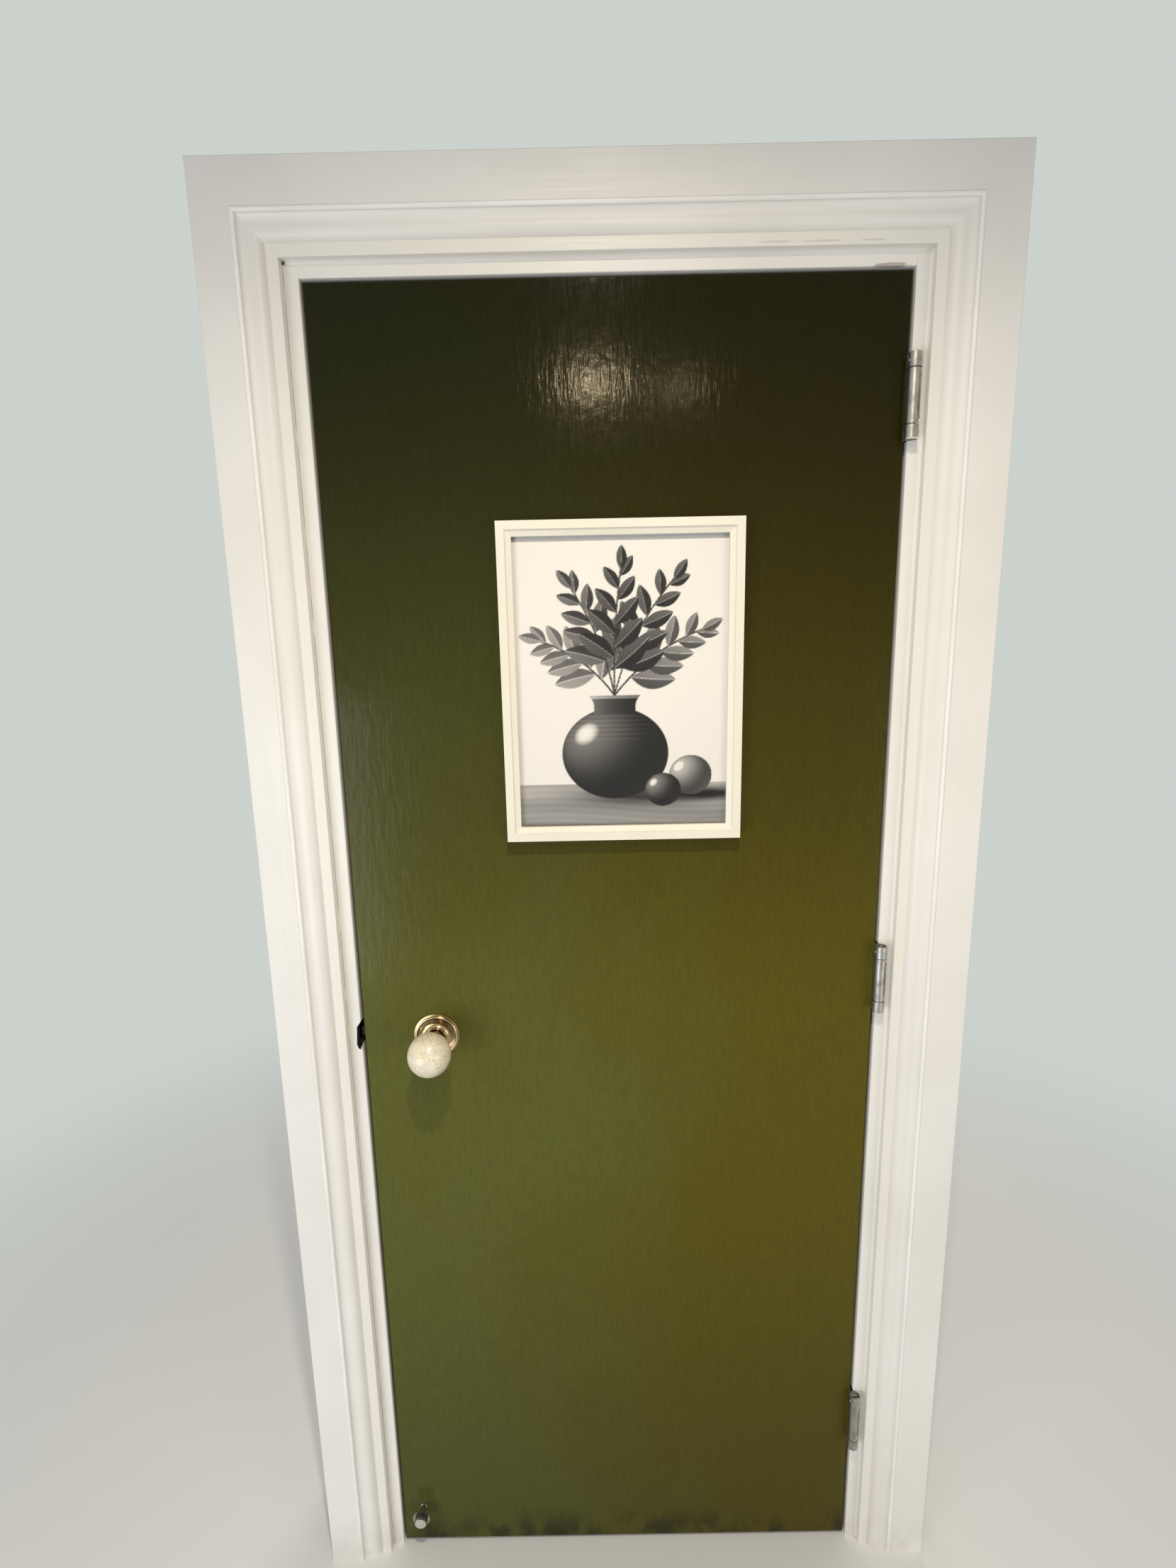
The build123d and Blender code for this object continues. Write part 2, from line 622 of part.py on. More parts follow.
def hinge_jamb_leaf(base):
    """The half of a hinge on the jamb: plate, end knuckles and the holes for pins and screws."""
    ends = [(0, BOTTOM_KNUCKLE), (HINGE_LENGTH - TOP_KNUCKLE, HINGE_LENGTH)]
    half = hinge_plate(base, 1, ends)
    for low, high in ends:
        half += knuckle(BARREL_RADIUS, base, low, high)
    half -= barrel_rod(BORE_RADIUS, base, -1, HINGE_LENGTH + 1)
    for pin in tension_pins(base):
        half -= pin
    half -= radial_pin(PLUG_PIN_RADIUS, 0, BARREL_RADIUS + 1, base + PLUG_PIN_UP, PLUG_PIN_ANGLE)
    for y, z in hinge_screw_places(base):
        half -= hinge_screw(y, z, 1, SCREW_CLEARANCE)
    return half


def hinge_door_leaf(base):
    """The half of a hinge on the leaf: plate and the long middle knuckle."""
    low = BOTTOM_KNUCKLE + KNUCKLE_GAP
    high = HINGE_LENGTH - TOP_KNUCKLE - KNUCKLE_GAP
    half = hinge_plate(base, -1, [(low, high)]) + knuckle(LONG_KNUCKLE_RADIUS, base, low, high)
    half += knuckle_wrap(base, low, high)
    half -= barrel_rod(BORE_RADIUS, base, low - 1, high + 1)
    for y, z in hinge_screw_places(base):
        half -= hinge_screw(y, z, -1, SCREW_CLEARANCE)
    return half


def hinge_tension_collar(base):
    """The slotted collar in the top knuckle; its lower end is the upper pivot and holds the spring."""
    low = HINGE_LENGTH - TOP_KNUCKLE - JOURNAL_LENGTH
    high = HINGE_LENGTH - COLLAR_RECESS
    collar = barrel_rod(BORE_RADIUS - PLUG_CLEARANCE, base, low, high)
    slot = COLLAR_SLOT_WIDTH / 2
    collar -= block(
        (HINGE_X - BARREL_RADIUS, HINGE_X + BARREL_RADIUS),
        (HINGE_Y - slot, HINGE_Y + slot),
        (base + high - COLLAR_SLOT_DEPTH, base + high + 1),
    )
    for pin in tension_pins(base):
        collar -= pin
    return collar


def hinge_pivot_plug(base):
    """The plug in the bottom knuckle, whose upper end the long knuckle turns on."""
    high = BOTTOM_KNUCKLE + JOURNAL_LENGTH
    plug = barrel_rod(BORE_RADIUS - PLUG_CLEARANCE, base, PLUG_RECESS, high)
    return plug - plug_pin(base)


def hinge_spring(base):
    """The close-wound torsion spring between plug and collar, as the tube that its coils fill."""
    low = BOTTOM_KNUCKLE + JOURNAL_LENGTH
    high = HINGE_LENGTH - TOP_KNUCKLE - JOURNAL_LENGTH
    outer = BORE_RADIUS - SPRING_CLEARANCE
    return barrel_rod(outer, base, low, high) - barrel_rod(outer - SPRING_WALL, base, low - 1, high + 1)


# Knob set


def rose(front):
    """A round rose: stepped base, raised rim, dished field and the collar round the neck."""
    bore = NECK_RADIUS + NECK_CLEARANCE
    collar = bore + ROSE_COLLAR_WALL
    field = (collar + ROSE_RIM_RADIUS) / 2
    rim_foot = ROSE_BASE_THICKNESS + ROSE_BASE_BEVEL
    rim_top = ROSE_RIM_HEIGHT - ROSE_RIM_ROUND
    rim_inside = ROSE_RIM_RADIUS - ROSE_RIM_WIDTH
    shoulder = ROSE_COLLAR_HEIGHT - ROSE_COLLAR_STEP
    lip = ROSE_COLLAR_HEIGHT - ROSE_COLLAR_LIP
    outline = [
        Line((bore, 0), (ROSE_RADIUS, 0)),
        Line((ROSE_RADIUS, 0), (ROSE_RADIUS, ROSE_BASE_THICKNESS)),
        Line((ROSE_RADIUS, ROSE_BASE_THICKNESS), (ROSE_RIM_RADIUS, rim_foot)),
        Line((ROSE_RIM_RADIUS, rim_foot), (ROSE_RIM_RADIUS, rim_top)),
        bow((ROSE_RIM_RADIUS, rim_top), (rim_inside, rim_top), -ROSE_RIM_ROUND),
        bow((rim_inside, rim_top), (field, ROSE_DISH_HEIGHT), 0.3),
        bow((field, ROSE_DISH_HEIGHT), (collar + ROSE_COLLAR_FOOT, shoulder), 0.9),
        Line((collar + ROSE_COLLAR_FOOT, shoulder), (collar, shoulder + ROSE_COLLAR_LIP)),
        Line((collar, shoulder + ROSE_COLLAR_LIP), (collar, lip)),
        bow((collar, lip), (bore, lip), -ROSE_COLLAR_LIP),
        Line((bore, lip), (bore, 0)),
    ]
    facing = -1 if front else 1
    face_y = LEAF_FRONT if front else LEAF_BACK
    plate = turned(outline, SPINDLE_X, face_y, KNOB_HEIGHT, facing)
    for hole in rose_screws(front, SCREW_CLEARANCE):
        plate -= hole
    return plate


def rose_screws(front, clearance=0.0):
    """The round-headed screws of one rose, or with a clearance the holes that they need."""
    facing = -1 if front else 1
    face_y = LEAF_FRONT if front else LEAF_BACK
    seat = face_y + facing * ROSE_DISH_HEIGHT * 0.8
    tip = face_y - facing * (ROSE_SCREW_LENGTH - ROSE_DISH_HEIGHT)
    screws = []
    for angle in ROSE_SCREW_ANGLES:
        x = SPINDLE_X + ROSE_SCREW_CIRCLE * cos(radians(angle))
        z = KNOB_HEIGHT + ROSE_SCREW_CIRCLE * sin(radians(angle))
        head_height = ROSE_RIM_HEIGHT if clearance else ROSE_SCREW_HEAD_HEIGHT
        head_span = sorted((seat, seat + facing * head_height))
        shank_span = sorted((tip, seat))
        head = rod("y", ROSE_SCREW_HEAD + clearance, (x, z), head_span)
        screws.append(head + rod("y", ROSE_SCREW_RADIUS + clearance, (x, z), shank_span))
    return screws


def knob_ball(front):
    """The ball, with the socket that its neck is set in."""
    facing = -1 if front else 1
    face_y = LEAF_FRONT if front else LEAF_BACK
    ball = Pos(SPINDLE_X, face_y + facing * KNOB_STAND, KNOB_HEIGHT) * Sphere(KNOB_RADIUS)
    socket_span = sorted((face_y, face_y + facing * NECK_TOP))
    return ball - rod("y", NECK_RADIUS, (SPINDLE_X, KNOB_HEIGHT), socket_span)


def knob_neck(front):
    """The turned neck between the rose's collar and the ball, with the square for the spindle."""
    facing = -1 if front else 1
    face_y = LEAF_FRONT if front else LEAF_BACK
    waist = (ROSE_COLLAR_HEIGHT + KNOB_STAND - KNOB_RADIUS) / 2
    outline = [
        Line((0, 1), (NECK_RADIUS, 1)),
        Line((NECK_RADIUS, 1), (NECK_RADIUS, ROSE_COLLAR_HEIGHT + 1)),
        bow((NECK_RADIUS, ROSE_COLLAR_HEIGHT + 1), (NECK_WAIST_RADIUS, waist), -0.4),
        bow((NECK_WAIST_RADIUS, waist), (NECK_RADIUS, KNOB_STAND - KNOB_RADIUS), -0.6),
        Line((NECK_RADIUS, KNOB_STAND - KNOB_RADIUS), (NECK_RADIUS, NECK_TOP)),
        Line((NECK_RADIUS, NECK_TOP), (0, NECK_TOP)),
        Line((0, NECK_TOP), (0, 1)),
    ]
    neck = turned(outline, SPINDLE_X, face_y, KNOB_HEIGHT, facing)
    return neck - spindle(SPINDLE_CLEARANCE)


def spindle(clearance=0.0):
    """The square bar through both knobs and the latch's hub, or with a clearance its sockets."""
    half = SPINDLE_SIDE / 2 + clearance
    return block(
        (SPINDLE_X - half, SPINDLE_X + half),
        (LEAF_FRONT - SPINDLE_REACH - clearance, LEAF_BACK + SPINDLE_REACH + clearance),
        (KNOB_HEIGHT - half, KNOB_HEIGHT + half),
    )


# Latch


def latch_rod(radius, span):
    """A cylinder on the latch's axis, between two distances in from the leaf's edge."""
    return rod("x", radius, (LEAF_MIDDLE, KNOB_HEIGHT), (-LEAF_HALF + span[0], -LEAF_HALF + span[1]))


def latch_case():
    """The latch's tube, with the hub's cross hole, the spring's seat and a closed end."""
    case = latch_rod(CASE_RADIUS, (FACEPLATE_THICKNESS, CASE_LENGTH))
    inner = CASE_RADIUS - CASE_WALL
    case -= latch_rod(inner, (0, SPRING_SEAT_AT))
    case -= latch_rod(inner, (SPRING_SEAT_AT + SPRING_SEAT_THICKNESS, CASE_LENGTH - CASE_WALL))
    case -= latch_rod(TAIL_ROD_RADIUS + BOLT_CLEARANCE, (0, SPRING_SEAT_AT + SPRING_SEAT_THICKNESS + 1))
    across = (LEAF_MIDDLE - CASE_RADIUS - 1, LEAF_MIDDLE + CASE_RADIUS + 1)
    return case - rod("y", HUB_RADIUS + HUB_CLEARANCE, (SPINDLE_X, KNOB_HEIGHT), across)


def latch_hub():
    """The hub that the spindle turns, with the two lugs that draw the bolt's tail."""
    reach = CASE_RADIUS - 0.2
    hub = rod("y", HUB_RADIUS, (SPINDLE_X, KNOB_HEIGHT), (LEAF_MIDDLE - reach, LEAF_MIDDLE + reach))
    lean = KNOB_TURN / 2
    for upright in (1, -1):
        lug_x = -LUG_ARM * sin(radians(lean))
        lug_z = upright * LUG_ARM * cos(radians(lean))
        y_span = (LEAF_MIDDLE - LUG_WIDTH / 2, LEAF_MIDDLE + LUG_WIDTH / 2)
        tip = rod("y", LUG_RADIUS, (SPINDLE_X + lug_x, KNOB_HEIGHT + lug_z), y_span)
        arm = Box(LUG_ARM_WIDTH, LUG_WIDTH, LUG_ARM, align=(Align.CENTER, Align.CENTER, Align.MIN))
        turn = Rot(0, -lean, 0) if upright > 0 else Rot(0, 180 + lean, 0)
        hub += Pos(SPINDLE_X, LEAF_MIDDLE, KNOB_HEIGHT) * turn * arm
        hub += tip
    return hub - spindle(SPINDLE_CLEARANCE)


def latch_bolt():
    """The bevelled bolt with its rod, and the two-cheeked tail that the hub draws back."""
    edge = -LEAF_HALF
    y_span = (LEAF_MIDDLE - BOLT_WIDTH / 2, LEAF_MIDDLE + BOLT_WIDTH / 2)
    z_span = (KNOB_HEIGHT - BOLT_HEIGHT / 2, KNOB_HEIGHT + BOLT_HEIGHT / 2)
    head = block((edge - BOLT_THROW, edge - BOLT_THROW + BOLT_HEAD_LENGTH), y_span, z_span)
    bevel = Polyline(
        (edge - BOLT_THROW - 1, y_span[0] + BOLT_NOSE),
        (edge - BOLT_THROW, y_span[0] + BOLT_NOSE),
        (edge - BOLT_BEVEL_END, y_span[1]),
        (edge - BOLT_BEVEL_END, y_span[1] + 1),
        (edge - BOLT_THROW - 1, y_span[1] + 1),
        close=True,
    )
    head -= extrude(Pos(0, 0, z_span[0] - 1) * make_face(bevel), amount=BOLT_HEIGHT + 2)
    tail_start = BACKSET - LUG_ARM - LUG_RADIUS - BOLT_THROW - 2 * LUG_CLEARANCE - TAIL_BRIDGE
    tail = latch_rod(TAIL_ROD_RADIUS, (BOLT_HEAD_LENGTH - BOLT_THROW, tail_start + TAIL_BRIDGE / 2))
    cheek_out = CHEEK_INNER + CHEEK_THICKNESS
    start_x = edge + tail_start
    slot_low = SPINDLE_X - HUB_RADIUS - BOLT_THROW - LUG_CLEARANCE
    slot_high = SPINDLE_X + HUB_RADIUS + LUG_CLEARANCE
    end_x = slot_high + CHEEK_END
    z_half = CHEEK_HALF_HEIGHT
    tail += block(
        (start_x, start_x + TAIL_BRIDGE),
        (LEAF_MIDDLE - cheek_out, LEAF_MIDDLE + cheek_out),
        (KNOB_HEIGHT - z_half, KNOB_HEIGHT + z_half),
    )
    for low, high in ((-cheek_out, -CHEEK_INNER), (CHEEK_INNER, cheek_out)):
        y_cheek = (LEAF_MIDDLE + low, LEAF_MIDDLE + high)
        cheek = block((start_x, end_x), y_cheek, (KNOB_HEIGHT - z_half, KNOB_HEIGHT + z_half))
        slot = CHEEK_SLOT_HALF_HEIGHT
        cheek -= block((slot_low, slot_high), y_cheek, (KNOB_HEIGHT - slot, KNOB_HEIGHT + slot))
        tail += cheek
    bar_x = SPINDLE_X - LUG_ARM * sin(radians(KNOB_TURN / 2)) + LUG_RADIUS + LUG_CLEARANCE
    for upright in (1, -1):
        z_bar = sorted((KNOB_HEIGHT + upright * (CHEEK_SLOT_HALF_HEIGHT + 0.1), KNOB_HEIGHT + upright * z_half))
        tail += block(
            (bar_x, bar_x + LUG_BAR),
            (LEAF_MIDDLE - cheek_out, LEAF_MIDDLE + cheek_out),
            z_bar,
        )
    return head + tail


def latch_spring():
    """The coil between the case's seat and the bolt, which pushes the bolt out."""
    start = BOLT_HEAD_LENGTH - BOLT_THROW + LATCH_SPRING_WIRE
    length = SPRING_SEAT_AT - LATCH_SPRING_WIRE - start
    path = Helix(length / LATCH_SPRING_TURNS, length, LATCH_SPRING_RADIUS)
    section = Plane(origin=path @ 0, z_dir=path % 0) * Circle(LATCH_SPRING_WIRE / 2)
    coil = sweep(section, path=path)
    return Pos(-LEAF_HALF + start, LEAF_MIDDLE, KNOB_HEIGHT) * Rot(0, 90, 0) * coil


def latch_screws(clearance=0.0):
    """The faceplate's two countersunk screws, or with a clearance their holes."""
    screws = []
    for side in (-1, 1):
        z = KNOB_HEIGHT + side * FACEPLATE_SCREW_SPACING / 2
        head = FACEPLATE_SCREW_HEAD + clearance
        shank = FACEPLATE_SCREW_RADIUS + clearance
        cone = Cone(head, shank, FACEPLATE_SCREW_HEAD_DEPTH, align=(Align.CENTER, Align.CENTER, Align.MIN))
        body = Cylinder(shank, FACEPLATE_SCREW_LENGTH + clearance, align=(Align.CENTER, Align.CENTER, Align.MIN))
        screws.append(Pos(-LEAF_HALF, LEAF_MIDDLE, z) * Rot(0, 90, 0) * (cone + body))
    return screws


def latch_faceplate():
    """The plate let into the leaf's edge, with the bolt's window and two screw holes."""
    plate = block(
        (-LEAF_HALF, -LEAF_HALF + FACEPLATE_THICKNESS),
        (LEAF_MIDDLE - FACEPLATE_WIDTH / 2, LEAF_MIDDLE + FACEPLATE_WIDTH / 2),
        (KNOB_HEIGHT - FACEPLATE_HEIGHT / 2, KNOB_HEIGHT + FACEPLATE_HEIGHT / 2),
    )
    half_y = BOLT_WIDTH / 2 + BOLT_CLEARANCE
    half_z = BOLT_HEIGHT / 2 + BOLT_CLEARANCE
    plate -= block(
        (-LEAF_HALF - 1, -LEAF_HALF + FACEPLATE_THICKNESS + 1),
        (LEAF_MIDDLE - half_y, LEAF_MIDDLE + half_y),
        (KNOB_HEIGHT - half_z, KNOB_HEIGHT + half_z),
    )
    for hole in latch_screws(SCREW_CLEARANCE):
        plate -= hole
    return plate


# Picture


def moulding_side(length, across):
    """One mitred side of the picture's frame, lying along X, with its outer edge at y = -across / 2."""
    width, deep = MOULDING_WIDTH, MOULDING_DEPTH
    lip_back = SIGHT_EDGE_DEPTH - SIGHT_LIP
    section = Polyline(
        (0, 0),
        (0, deep),
        (MOULDING_FLAT, deep),
        (MOULDING_FLAT + 1, deep - MOULDING_STEP),
        (width, SIGHT_EDGE_DEPTH),
        (width, lip_back),
        (width - REBATE_WIDTH, lip_back),
        (width - REBATE_WIDTH, 0),
        close=True,
    )
    plane = Plane(origin=(0, -across / 2, 0), x_dir=(0, 1, 0), z_dir=(1, 0, 0))
    side = extrude(plane * make_face(section), amount=length / 2, both=True)
    for end in (-1, 1):
        cut = Plane(origin=(end * length / 2, -across / 2, 0), z_dir=(end, 1, 0))
        side = split(side, bisect_by=cut, keep=Keep.BOTTOM)
    return side


def on_leaf_face(shape):
    """Stands a shape drawn face up in the XY plane on the leaf's face, at the picture's place."""
    return Pos(PICTURE_CENTRE_X, LEAF_FRONT, PICTURE_CENTRE_Z) * Rot(90, 0, 0) * shape


def picture_frame():
    """The rebated moulding round the picture, mitred at its four corners."""
    across = moulding_side(PICTURE_WIDTH, PICTURE_HEIGHT)
    upright = moulding_side(PICTURE_HEIGHT, PICTURE_WIDTH)
    frame = across + Rot(0, 0, 90) * upright + Rot(0, 0, 180) * across + Rot(0, 0, 270) * upright
    return on_leaf_face(frame)


def picture_sheet(low, thickness):
    """A sheet in the frame's rebate: its glass, print or backing, low above the leaf's face."""
    inset = 2 * (MOULDING_WIDTH - REBATE_WIDTH + REBATE_CLEARANCE)
    sheet = Box(PICTURE_WIDTH - inset, PICTURE_HEIGHT - inset, thickness, align=(Align.CENTER, Align.CENTER, Align.MIN))
    return on_leaf_face(Pos(0, 0, low) * sheet)


GLASS_AT = SIGHT_EDGE_DEPTH - SIGHT_LIP - GLASS_THICKNESS
PRINT_AT = GLASS_AT - PRINT_THICKNESS
BACKING_AT = PRINT_AT - BACKING_THICKNESS


def picture_strips():
    """The four fixing strips between the backing and the leaf."""
    strips = []
    for side in (-1, 1):
        for end in (-1, 1):
            x = side * (PICTURE_WIDTH / 2 - MOULDING_WIDTH - STRIP_INSET)
            y = end * (PICTURE_HEIGHT / 2 - MOULDING_WIDTH - STRIP_INSET - STRIP_HEIGHT / 2)
            strip = Box(STRIP_WIDTH, STRIP_HEIGHT, BACKING_AT, align=(Align.CENTER, Align.CENTER, Align.MIN))
            strips.append(on_leaf_face(Pos(x, y, 0) * strip))
    return Compound(children=strips)


# Buffer


def buffer_screw(clearance=0.0):
    """The wood screw in the buffer's foot, or with a clearance its hole."""
    return rod(
        "y",
        BUFFER_SCREW_RADIUS + clearance,
        (BUFFER_X, BUFFER_Z),
        (LEAF_FRONT, LEAF_FRONT + BUFFER_SCREW_LENGTH + clearance),
    )


def buffer_body():
    """The turned stem, flared out to a flange, with the spigot that carries the ring and cap."""
    rim = BUFFER_FLANGE_HEIGHT - BUFFER_FLANGE_RIM
    flare = BUFFER_FLANGE_HEIGHT - BUFFER_FLARE
    spigot = BUFFER_FLANGE_HEIGHT + BUFFER_SPIGOT_LENGTH
    outline = [
        Line((0, 0), (BUFFER_FOOT_RADIUS, 0)),
        Line((BUFFER_FOOT_RADIUS, 0), (BUFFER_FOOT_RADIUS, BUFFER_FOOT_HEIGHT)),
        Line((BUFFER_FOOT_RADIUS, BUFFER_FOOT_HEIGHT), (BUFFER_STEM_RADIUS, BUFFER_FOOT_HEIGHT + 0.8)),
        Line((BUFFER_STEM_RADIUS, BUFFER_FOOT_HEIGHT + 0.8), (BUFFER_STEM_RADIUS, flare)),
        bow((BUFFER_STEM_RADIUS, flare), (BUFFER_FLANGE_RADIUS, rim), 2.2),
        Line((BUFFER_FLANGE_RADIUS, rim), (BUFFER_FLANGE_RADIUS, BUFFER_FLANGE_HEIGHT)),
        Line((BUFFER_FLANGE_RADIUS, BUFFER_FLANGE_HEIGHT), (BUFFER_SPIGOT_RADIUS, BUFFER_FLANGE_HEIGHT)),
        Line((BUFFER_SPIGOT_RADIUS, BUFFER_FLANGE_HEIGHT), (BUFFER_SPIGOT_RADIUS, spigot)),
        Line((BUFFER_SPIGOT_RADIUS, spigot), (0, spigot)),
        Line((0, spigot), (0, 0)),
    ]
    return turned(outline, BUFFER_X, LEAF_FRONT, BUFFER_Z, -1) + buffer_screw()


def buffer_ring():
    """The rubber ring on the spigot."""
    low = LEAF_FRONT - BUFFER_FLANGE_HEIGHT
    span = (low - BUFFER_SPIGOT_LENGTH, low)
    centre = (BUFFER_X, BUFFER_Z)
    ring = rod("y", BUFFER_RING_RADIUS, centre, span)
    ring = fillet(ring.edges().filter_by(GeomType.CIRCLE), BUFFER_SPIGOT_LENGTH / 4)
    return ring - rod("y", BUFFER_SPIGOT_RADIUS, centre, span)


def buffer_cap():
    """The low domed cap that holds the ring on."""
    base = BUFFER_FLANGE_HEIGHT + BUFFER_SPIGOT_LENGTH
    edge = base + BUFFER_CAP_THICKNESS
    dome = edge + BUFFER_CAP_DOME
    sphere = (BUFFER_CAP_RADIUS**2 + BUFFER_CAP_DOME**2) / (2 * BUFFER_CAP_DOME)
    half_angle = asin(BUFFER_CAP_RADIUS / sphere) / 2
    middle = (sphere * sin(half_angle), dome - sphere + sphere * cos(half_angle))
    outline = [
        Line((0, base), (BUFFER_CAP_RADIUS, base)),
        Line((BUFFER_CAP_RADIUS, base), (BUFFER_CAP_RADIUS, edge)),
        ThreePointArc((BUFFER_CAP_RADIUS, edge), middle, (0, dome)),
        Line((0, dome), (0, base)),
    ]
    return turned(outline, BUFFER_X, LEAF_FRONT, BUFFER_Z, -1)


def build_parts():
    """Every piece of the door set, by its node's name."""
    parts = {
        "hinge_jamb": hinge_jamb(),
        "latch_jamb": latch_jamb(),
        "head_jamb": head_jamb(),
        "hinge_side_stop": side_stop(1),
        "latch_side_stop": side_stop(-1),
        "head_stop": head_stop(),
        "front_architrave_hinge_side": architrave_leg(1, ARCHITRAVE_WIDTH, True),
        "front_architrave_latch_side": architrave_leg(-1, RIPPED_WIDTH, True),
        "front_architrave_head": architrave_head(RIPPED_WIDTH, True),
        "back_architrave_hinge_side": architrave_leg(1, ARCHITRAVE_WIDTH, False),
        "back_architrave_latch_side": architrave_leg(-1, ARCHITRAVE_WIDTH, False),
        "back_architrave_head": architrave_head(ARCHITRAVE_WIDTH, False),
        "leaf_front_skin": leaf_skin(True),
        "leaf_back_skin": leaf_skin(False),
        "leaf_core": leaf_core(),
        "leaf_lock_stile": leaf_lock_stile(),
        "leaf_hinge_stile": leaf_hinge_stile(),
        "leaf_top_rail": leaf_rail(LEAF_TOP - RAIL_HEIGHT),
        "leaf_bottom_rail": leaf_rail(LEAF_BOTTOM),
        "hinge_tension_pins": Compound(
            children=[pin for base in HINGE_BASES.values() for pin in tension_pins(base)]
        ),
        "hinge_plug_pins": Compound(children=[plug_pin(base) for base in HINGE_BASES.values()]),
        "hinge_jamb_screws": Compound(children=all_hinge_screws(1)),
        "hinge_leaf_screws": Compound(children=all_hinge_screws(-1)),
        "front_rose": rose(True),
        "back_rose": rose(False),
        "rose_screws": Compound(children=rose_screws(True) + rose_screws(False)),
        "front_knob": knob_ball(True),
        "back_knob": knob_ball(False),
        "front_knob_neck": knob_neck(True),
        "back_knob_neck": knob_neck(False),
        "spindle": spindle(),
        "latch_case": latch_case(),
        "latch_hub": latch_hub(),
        "latch_bolt": latch_bolt(),
        "latch_spring": latch_spring(),
        "latch_faceplate": latch_faceplate(),
        "latch_screws": Compound(children=latch_screws()),
        "picture_frame": picture_frame(),
        "picture_glass": picture_sheet(GLASS_AT, GLASS_THICKNESS),
        "picture_print": picture_sheet(PRINT_AT, PRINT_THICKNESS),
        "picture_backing": picture_sheet(BACKING_AT, BACKING_THICKNESS),
        "picture_strips": picture_strips(),
        "door_buffer_body": buffer_body(),
        "door_buffer_ring": buffer_ring(),
        "door_buffer_cap": buffer_cap(),
    }
    for name, base in HINGE_BASES.items():
        parts[f"{name}_hinge_jamb_leaf"] = hinge_jamb_leaf(base)
        parts[f"{name}_hinge_door_leaf"] = hinge_door_leaf(base)
        parts[f"{name}_hinge_pivot_plug"] = hinge_pivot_plug(base)
        parts[f"{name}_hinge_tension_collar"] = hinge_tension_collar(base)
        parts[f"{name}_hinge_spring"] = hinge_spring(base)
    return parts


os.makedirs("parts", exist_ok=True)
for node, shape in build_parts().items():
    export_step(shape, f"parts/{node}.step")
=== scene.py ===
"""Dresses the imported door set: paint, plated steel, antique brass, crackle glaze, glass and print.

Metres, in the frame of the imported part: X across the doorway, Y into the wall, Z up.
"""

import logging
import math
from dataclasses import dataclass
from enum import Enum

import bmesh
import bpy
import numpy as np
from mathutils import Matrix, Vector

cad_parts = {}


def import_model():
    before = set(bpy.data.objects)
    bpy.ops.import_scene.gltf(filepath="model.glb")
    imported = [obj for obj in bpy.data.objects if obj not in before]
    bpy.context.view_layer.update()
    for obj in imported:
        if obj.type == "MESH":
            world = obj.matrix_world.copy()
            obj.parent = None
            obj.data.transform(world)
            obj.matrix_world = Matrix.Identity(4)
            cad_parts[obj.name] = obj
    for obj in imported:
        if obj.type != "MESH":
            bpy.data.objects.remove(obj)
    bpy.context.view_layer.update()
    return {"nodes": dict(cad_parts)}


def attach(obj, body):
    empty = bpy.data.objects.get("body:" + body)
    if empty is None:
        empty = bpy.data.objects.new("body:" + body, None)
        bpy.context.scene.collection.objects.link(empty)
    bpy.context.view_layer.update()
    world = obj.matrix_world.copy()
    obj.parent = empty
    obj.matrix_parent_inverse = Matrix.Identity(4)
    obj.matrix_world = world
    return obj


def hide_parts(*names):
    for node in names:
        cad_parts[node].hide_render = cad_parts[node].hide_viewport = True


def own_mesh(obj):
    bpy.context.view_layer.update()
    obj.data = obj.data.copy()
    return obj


LOG = logging.getLogger("door")
MM = 0.001
MERGE = 0.001 * MM  # points of a new mesh that lie nearer than this are one

Colour = tuple[float, float, float]
Place = tuple[float, float, float]
Pair = tuple[float, float]
Ramp = tuple[float, ...]
Socket = bpy.types.NodeSocket


class Axis(Enum):
    """A direction that brush strokes or grain run in, or that a coordinate is read along."""

    X = 0
    Y = 1
    Z = 2

    def strokes(self, across: float, along: float) -> Place:
        """Cells per metre on each axis for strokes that run along this one."""
        return tuple(along if axis is self else across for axis in Axis)


class Face(Enum):
    """A face of the wall or of the leaf, and the way that it looks along Y."""

    FRONT = -1
    BACK = 1


class Hand(Enum):
    """A side of the doorway, and the way that it lies along X."""

    HINGE_SIDE = 1
    LATCH_SIDE = -1


class Lay(Enum):
    """A way to lay one colour on another, by its word in the Mix node."""

    OVER = "MIX"
    TIMES = "MULTIPLY"


